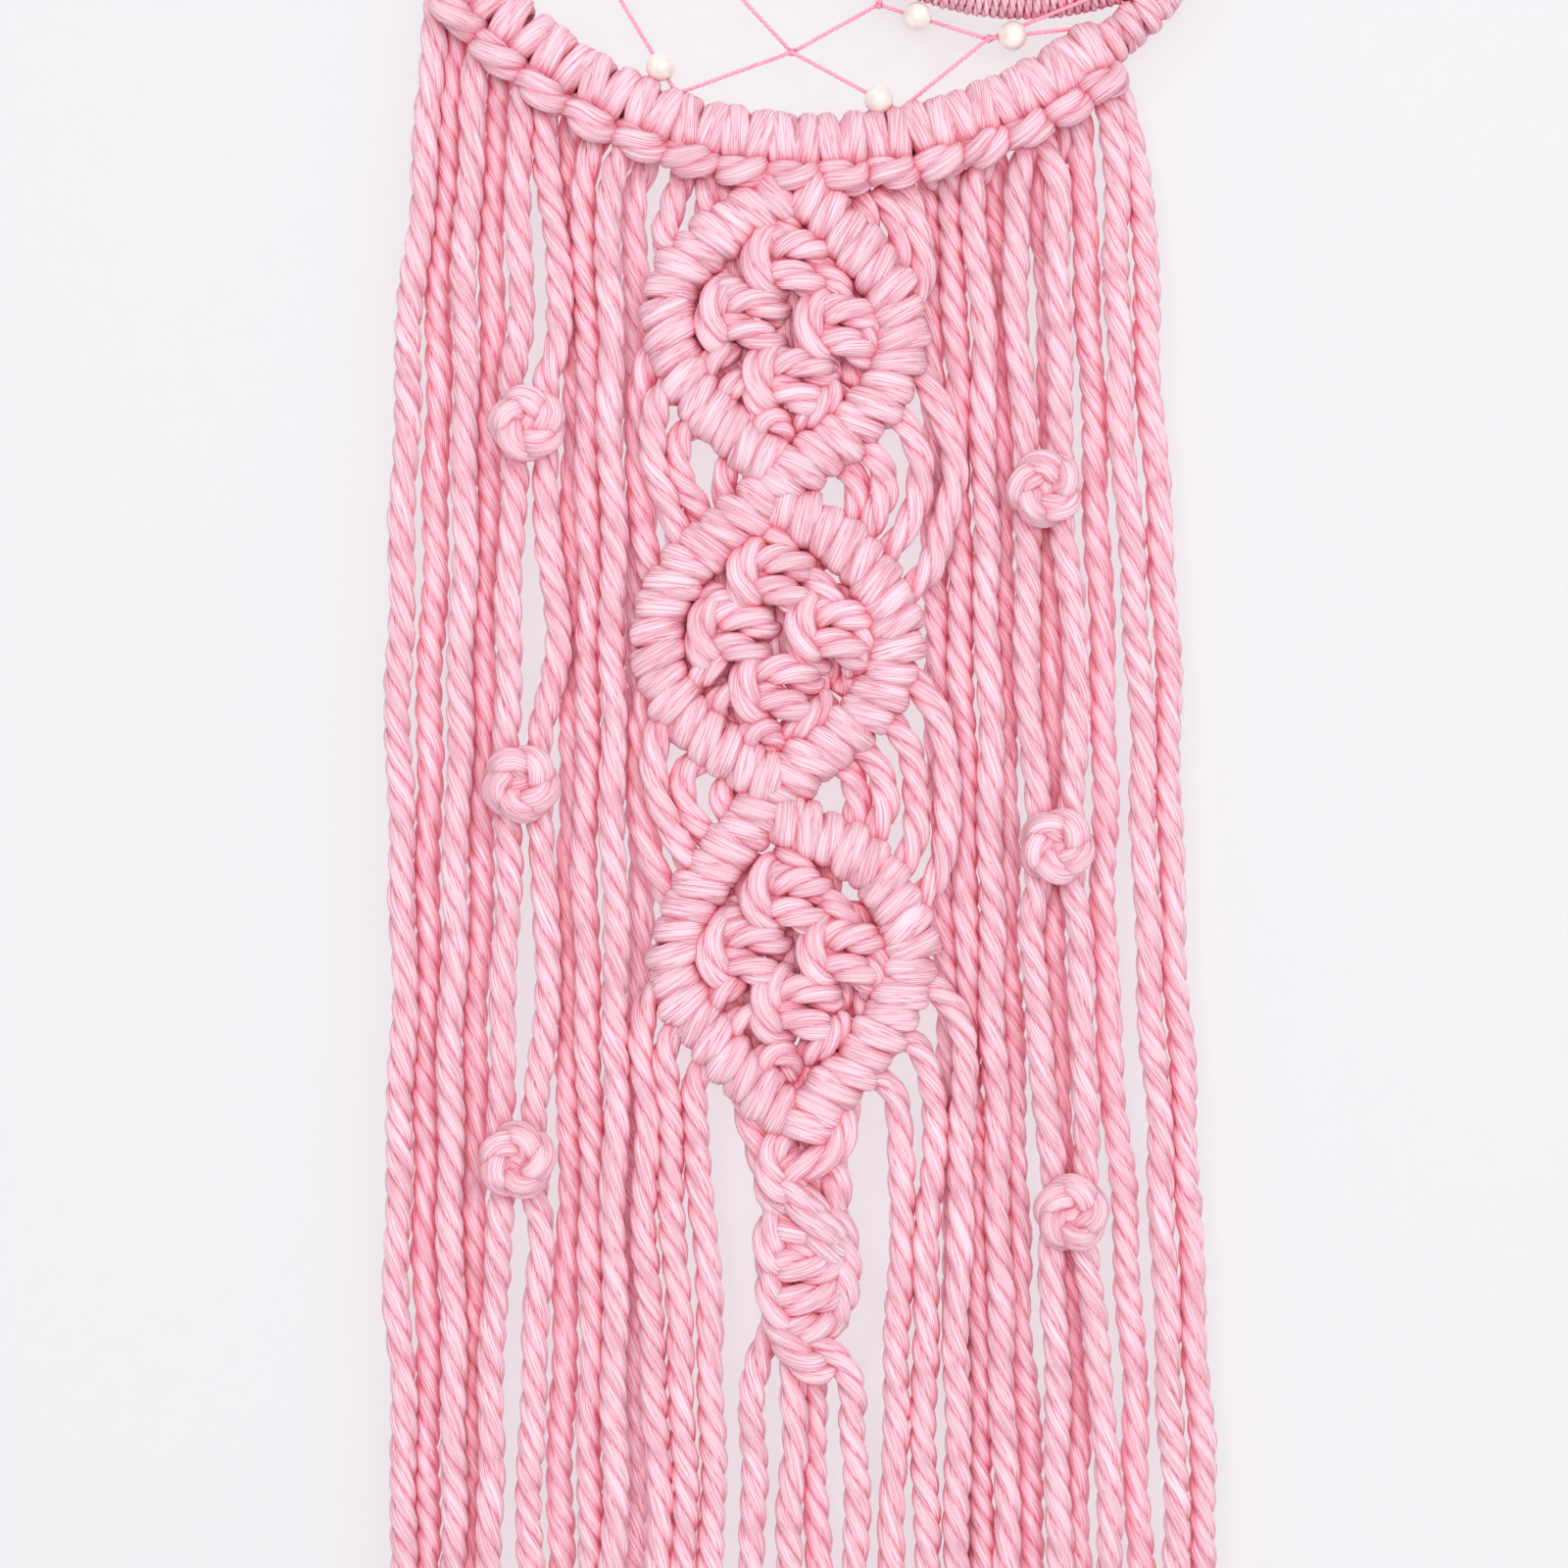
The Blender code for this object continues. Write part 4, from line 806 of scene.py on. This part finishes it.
TAILS = (
    ((-6, 0.6, 270), (-9.6, 0.8, 277.6), (-11.2, 0.8, 285.6), (-11.1, 0.6, 294), (-10.7, 0.4, 313.2),
     (-11.2, 0.4, FRINGE)),
    ((-4, -1, 274), (-4.2, -0.2, 284), (-4, 0, 294), (-4.5, 0, 313.2),
     (-4.8, 0, FRINGE)),
    ((-2.2, 1.6, 272), (-0.8, 3, 284), (-0.5, 3, 294), (-0.2, 3, 313.2),
     (0, 3, FRINGE)),
    ((-4.2, -1.2, 273.4), (0.6, -2.6, 275.8), (4.4, -2.2, 279), (6.3, -0.8, 284.4), (5.8, 0, 290),
     (6.2, 0, 313.2), (6.4, 0, FRINGE)),
)
SPIRAL_CORE = ((-3.4, 0.4, 236), (-2, 0.4, 246), (-1.8, 0.2, 258), (-1.8, 0.2, 268), (-3, 0, 276))
SPIRAL_CORE_R = 3.2
LOOP_R, UNDER_BAR = 2.45, 2.6  # the ends of a loop go so far back, behind the bar


def working_cord(points, index, radius, wide, hidden):
    route = []
    for right, back, drop in points:
        route.append(place(right, back, fringe_end(index) if drop == FRINGE else drop))
    for end in hidden:
        route[end] += UNDER_BAR * BACK
    if points[-1][2] == FRINGE:
        return laid(swayed(route, len(STRANDS) + index), step=1.5)
    return laid(route, radius, wide=wide, thin=0.9, step=0.9)


for group in (ENTRY, FIRST_LOOPS, SECOND_LOOPS, HANGING, SPIRAL, TAILS):
    radius, wide = (KNOT_R, 1.12) if group is SPIRAL else (LOOP_R, 1.0)
    hidden = (0, -1) if group in (FIRST_LOOPS, SECOND_LOOPS) else ()
    for index, points in enumerate(group):
        panel.append(working_cord(points, index, radius, wide, hidden))
panel.append(laid([place(*stop) for stop in SPIRAL_CORE], SPIRAL_CORE_R, step=1.2))
for number in (6, 7, 8, 9, 10):
    panel += larks_head(number)
piece_of("centre_panel", panel, COTTON)

# %% [markdown]
# ## The two hoops
# Where no cord is hitched, the outer ring is wound with the same cord, turn beside turn. The inner arc is
# wound with a finer one. A winding is a helix bent round the hoop: the cord lies flat on the ring, so it
# is thinner outwards and wider along the hoop.

# %% Wound hoops
OUTER_ARC, BARE_ARC, INNER_ARC = (57.4, -251.0), (40.2, -52.6), (31.5, -225.8)  # degrees
# Pitch, reach to the middle of the cord, the cord's radius, width, thickness and lay, points on a turn.
OUTER_WINDING = (3.9, 2.7, 2.25, 0.98, 0.56, 24.0, 15)
INNER_WINDING = (1.35, 2.45, 0.76, 1.0, 0.85, 6.0, 14)


def winding(spot, hoop_r, first, last, pitch, reach, radius, wide, thin, lay, points):
    """A cord wound round a hoop from one angle to another."""
    turns = math.radians(abs(last - first)) * hoop_r / pitch
    count = int(turns * points)
    route, middles = [], []
    for k in range(count + 1):
        angle = first + (last - first) * k / count
        phase = 2 * math.pi * k / points
        along, out, back = arc_axes(angle)
        middles.append(spot(angle))
        route.append(middles[-1] + reach * (math.cos(phase) * out + math.sin(phase) * back))
    middles = np.array(middles)
    return laid(route, radius, lay, wide, thin, lambda p: p - middles, None, loose=0.05)


def bare_ring(spot, first, last, radius):
    """The plain ring inside the hitches or the winding: too smooth for strands, so its lay is long."""
    count = max(3, int(abs(last - first) / 3))
    route = [spot(first + (last - first) * k / count) for k in range(count + 1)]
    return laid(route, radius, 400.0, step=None, loose=0.0)


outer = [bare_ring(on_hoop, *OUTER_ARC, RING_R)]
for first, last in ((OUTER_ARC[0], BARE_ARC[0] - 0.6), (BARE_ARC[1] - 0.4, OUTER_ARC[1])):
    outer.append(winding(on_hoop, HOOP_R, first, last, *OUTER_WINDING))
piece_of("outer_hoop", outer, COTTON)
inner = [bare_ring(on_moon, *INNER_ARC, MOON_CORE_R)]
inner.append(winding(on_moon, MOON_R, *INNER_ARC, *INNER_WINDING))
piece_of("inner_hoop", inner, COTTON)

# %% [markdown]
# ## The hanging loop
# The picture ends below it, so the loop is a plain one: the same cord, hitched on the top of the hoop.

# %% Hanging loop
# Its right side from the hitch up, as (right, up from its inner top).
LOOP_SIDE = ((2.2, -54.5), (3.6, -48), (7.8, -33), (9.2, -17), (7.4, -5), (3.9, 0.8), (0, 2))
loop_half = [np.array((right, 0.0, up)) for right, up in LOOP_SIDE]
loop_other = [np.array((-p[0], 0.0, p[2])) for p in loop_half[:-1]]
loop_cords = [laid(loop_other + loop_half[::-1], step=0.9)]
for side in (-1, 1):
    turn_angle = 180 + side * math.degrees(2.0 / HOOP_R)
    along, out, back = arc_axes(turn_angle)
    loop_cords.append(wrap(on_hoop(turn_angle), along, out, back, WRAPPED_R + 1.6, thin=0.72))
along, out, back = arc_axes(180)
loop_middle = on_hoop(180, WRAPPED_R + 2.4)
loop_bight = [
    loop_middle - along * 4.2 + back * 1.0,
    loop_middle - along * 3.0 - back * 2.6,
    loop_middle - back * 4.2,
    loop_middle + along * 3.0 - back * 2.6,
    loop_middle + along * 4.2 + back * 1.0,
]
loop_cords.append(laid(loop_bight, 2.05, LAY, 1.0, 0.85, to_the_front, 0.9))
piece_of("hanging_loop", loop_cords, COTTON)

# %% [markdown]
# ## The web
# One deep pink thread is knotted into a net between the two hoops, as on a dream catcher. Each row of
# thread hangs in bows from the row above. The nodes follow one rule, so the thread is drawn from the rule
# and not from a list of points. The thread is a thin laid cord too, with a small knot at each crossing.

# %% Net
WEB_FIRST, SPOKE, WEB_SPOKES = 41.5, 30.5, 10  # degrees to the first spoke and between spokes, and how many
ROW_STEP, FULL_WIDTH, WEB_ROWS = 10.4, 32.0, 4  # mm between rows where the moon is so many mm wide, and rows
WEB_EDGE, WEB_BACK, GAP = 5.7, -1.0, 0.3
HITCH_PEAK = 5.3  # how far a hitch reaches in from the middle of its turns
THREAD_R, THREAD_LAY, THREAD_STEP = 0.36, 3.0, 0.4
KNOT_REACH, KNOT_SHIFT = 0.42, 0.35  # a knot is two turns of the thread round itself
TUCK = 1.7  # the outermost knots sink in between the soft turns of cord
HORN = (46.6, -3.7, 50.6)  # the first tie runs across the inner hoop to its lower horn


def moon_reach(angle):
    turn = math.radians(angle)
    along = MOON_RIGHT * math.sin(turn) + MOON_DROP * math.cos(turn)
    apart = MOON_RIGHT**2 + MOON_DROP**2
    return along + math.sqrt(along**2 + MOON_R**2 - apart) + MOON_WRAPPED_R


def web_point(row, column):
    """A node of the net, or None where the moon is too narrow for that row."""
    angle = WEB_FIRST - SPOKE * (column + row / 2)
    width = HOOP_R - WEB_EDGE - moon_reach(angle)
    if row == 0:
        beside = HITCH_IN + HITCH_PEAK if BARE_ARC[1] < angle < BARE_ARC[0] else WRAPPED_R
        return on_hoop(angle, -(beside + THREAD_R + GAP + 0.1) + TUCK, WEB_BACK)
    depth = row * ROW_STEP * math.sqrt(min(1.0, max(width, 0.0) / FULL_WIDTH))
    if depth > width - 4.0:
        return None
    return on_hoop(angle, -WEB_EDGE - depth, WEB_BACK)


def web_nodes():
    found = {}
    for row in range(WEB_ROWS + 1):
        for column in range(WEB_SPOKES - row):
            above = row == 0 or ((row - 1, column) in found and (row - 1, column + 1) in found)
            point = web_point(row, column) if above else None
            if point is not None:
                found[row, column] = point
    return found


def moon_tie(point):
    middle = place(MOON_RIGHT, WEB_BACK, MOON_DROP)
    return middle + unit(point - middle) * (MOON_R + MOON_WRAPPED_R + GAP)


def web_lift(row):
    return np.array((0.0, 0.25 if row % 2 else -0.25, 0.0))


def web_rows(nodes):
    rows = []
    for row in range(WEB_ROWS + 1):
        line = []
        for column in range(WEB_SPOKES):
            high = nodes.get((row, column))
            if high is None:
                continue
            before, after = (row + 1, column - 1) in nodes, (row + 1, column) in nodes
            if row > 0 and not before:
                line.append(place(*HORN) if (row, column) == (1, 0) else moon_tie(high))
            line.append(high)
            if after:
                line.append(nodes[row + 1, column])
            else:
                if row > 0 and before:
                    line.append(moon_tie(high))
                rows.append([point + web_lift(row) for point in line])
                line = []
    return rows


def straight(points, step):
    """Points along straight stretches, so that the thread turns sharply at its knots."""
    line = [points[0]]
    for a, b in zip(points, points[1:]):
        count = max(1, round(np.linalg.norm(b - a) / step))
        line += [a + (b - a) * k / count for k in range(1, count + 1)]
    return line


net = web_nodes()
threads = []
for line in web_rows(net):
    threads.append(laid(straight(line, THREAD_STEP), THREAD_R, THREAD_LAY, step=None, loose=0.0))
for (row, column), node in net.items():
    if row > 0:
        along, out, back = arc_axes(WEB_FIRST - SPOKE * (column + row / 2))
        for shift in (-KNOT_SHIFT, KNOT_SHIFT):
            middle = node + out * shift
            threads.append(wrap(middle, out, along, back, KNOT_REACH, 0.0, THREAD_R, 1.0, 1.0, 8))
piece_of("web_thread", threads, THREAD)

# %% [markdown]
# ## Pearls
# Each pearl is a turned bead with a bore, threaded on the net. It is made as a lathe makes it: a profile
# with rounded edges at the bore, turned about the thread.

# %% Pearls
PEARL_R, PEARL_BORE_R = 2.5, 0.55
PROFILE_POINTS, TURN_POINTS = 17, 28
# Each pearl: the (row, column) of the two nodes of its thread, and its share of the way between them.
PEARLS = (
    ((0, 0), (1, 0), 0.8), ((0, 1), (1, 1), 0.19), ((1, 0), (2, 0), 0.65),
    ((0, 2), (1, 2), 0.26), ((2, 2), (3, 2), 0.5), ((0, 4), (1, 4), 0.4),
    ((1, 3), (2, 3), 0.45), ((3, 3), (4, 3), 0.5), ((0, 6), (1, 5), 0.35),
    ((2, 5), (3, 4), 0.5), ((0, 8), (1, 8), 0.4), ((1, 6), (2, 6), 0.5),
)


def pearl(number, start, end, share):
    edge = math.acos(PEARL_BORE_R / PEARL_R)
    angles = np.linspace(edge, -edge, PROFILE_POINTS)
    turns = np.radians(np.arange(TURN_POINTS) * 360 / TURN_POINTS)
    axis = Vector(end - start).to_track_quat("Z", "Y").to_matrix()
    middle = Vector(start + (end - start) * share)
    points, faces = [], []
    for row, angle in enumerate(angles):
        out, up = PEARL_R * math.cos(angle), PEARL_R * math.sin(angle)
        here, after = row * TURN_POINTS, (row + 1) % PROFILE_POINTS * TURN_POINTS
        for column, turn in enumerate(turns):
            beside = (column + 1) % TURN_POINTS
            points.append((axis @ Vector((out * math.cos(turn), out * math.sin(turn), up)) + middle) * MM)
            faces.append((here + column, after + column, after + beside, here + beside))
    name = f"pearl_{number:02d}"
    mesh = bpy.data.meshes.new(name + "_bead")
    mesh.from_pydata(points, [], faces)
    mesh.shade_smooth()
    mesh.materials.append(pearl_finish)
    made = new_object(name + "_turned", mesh)
    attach(made, "root")
    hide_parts(name)


for count, (from_node, to_node, share) in enumerate(PEARLS, 1):
    rise = web_lift(from_node[0])
    pearl(count, net[from_node] + rise, net[to_node] + rise, share)
print("pearls:", len(PEARLS), "triangles so far:", sum(made_pieces.values()))

# %% [markdown]
# ## Wall, floor and light
# The hanging is shown on a pale wall above a pale floor. From behind the wall is clear, so that the back
# can be looked at. From the front it is matt paint that also glows from a light behind it, which keeps the
# gaps between the strands light. Of the two big soft lights in front, the stronger is near the middle and
# the weaker to the right, so the faint shadow on the wall falls to the left. A small one gives the pearls
# their sparkle.

# %% Wall and floor
WALL_Y, WALL_TOP, FLOOR_Z, WIDE = 12.0 * MM, 2.0, -0.7, 3.0
GLOW_SHARE = 0.7


def flat_sheet(name, corners, finish):
    mesh = bpy.data.meshes.new(name)
    mesh.from_pydata(corners, [], [(0, 1, 2, 3)])
    mesh.materials.append(finish)
    made = new_object(name, mesh)


wall_values = {"Base Color": linear("#CBE7E6"), "Roughness": 0.95, "Specular IOR Level": 0.1}
wall_paint, wall_tree, wall_shader = new_material("matt_wall_paint", wall_values)
behind = add_node(wall_tree, "NewGeometry").outputs["Backfacing"]
shadow = add_node(wall_tree, "LightPath").outputs["Is Shadow Ray"]
open_way = sums(wall_tree, "MAXIMUM", behind, shadow)
clear = add_node(wall_tree, "BsdfTransparent").outputs[0]
glow = add_node(wall_tree, "BsdfTranslucent", {"Color": linear("#F7E9EE")}).outputs[0]
parts = {0: GLOW_SHARE, 1: wall_shader.outputs[0], 2: glow}
sheet = add_node(wall_tree, "MixShader", parts).outputs[0]
mixed = add_node(wall_tree, "MixShader", {0: open_way, 1: sheet, 2: clear})
wall_tree.links.new(mixed.outputs[0], wall_tree.nodes["Material Output"].inputs["Surface"])
floor_paint, _, _ = new_material("matt_floor", {"Base Color": linear("#D8D5D5"), "Roughness": 0.9})
wall = ((-WIDE, FLOOR_Z), (WIDE, FLOOR_Z), (WIDE, WALL_TOP), (-WIDE, WALL_TOP))
floor = ((-WIDE, -WIDE), (WIDE, -WIDE), (WIDE, WIDE), (-WIDE, WIDE))
flat_sheet("wall", [(right, WALL_Y, up) for right, up in wall], wall_paint)
flat_sheet("floor", [(right, back, FLOOR_Z) for right, back in floor], floor_paint)
print("wall", round(WALL_Y / MM), "mm behind the middle of the hoop")

# %% Lights
AIM = (0.0, 0.0, -0.3)
WORLD_STRENGTH = 0.60


def soft_light(name, spot, size, watts, spread=180):
    """A round white light that points at the hanging."""
    lamp = bpy.data.lights.new(name, "AREA")
    lamp.spread = math.radians(spread)
    lamp.shape, lamp.size = "DISK", size
    lamp.energy = watts
    made = new_object(name, lamp)
    made.location = spot
    made.rotation_euler = (Vector(AIM) - Vector(spot)).to_track_quat("-Z", "Y").to_euler()


soft_light("key_right", (0.9, -1.8, 0.15), 1.5, 11.0)
soft_light("fill_front", (-0.1, -2.6, -0.3), 1.2, 22.0)
soft_light("from_behind", (0.3, 1.8, 0.3), 1.4, 4.5, 80)
soft_light("small_sparkle", (-0.5, -1.7, 0.6), 0.4, 8.0)
world = bpy.data.worlds.new("pale_room")
world.use_nodes = True
room = world.node_tree.nodes["Background"]
room.inputs["Color"].default_value = linear(WHITE)
room.inputs["Strength"].default_value = WORLD_STRENGTH
bpy.context.scene.world = world
bpy.context.scene.view_settings.view_transform = "Standard"
print("lights made")

# %% Sizes, and the end
print("triangles:", sum(made_pieces.values()), "most in one piece:", max(made_pieces.values()))
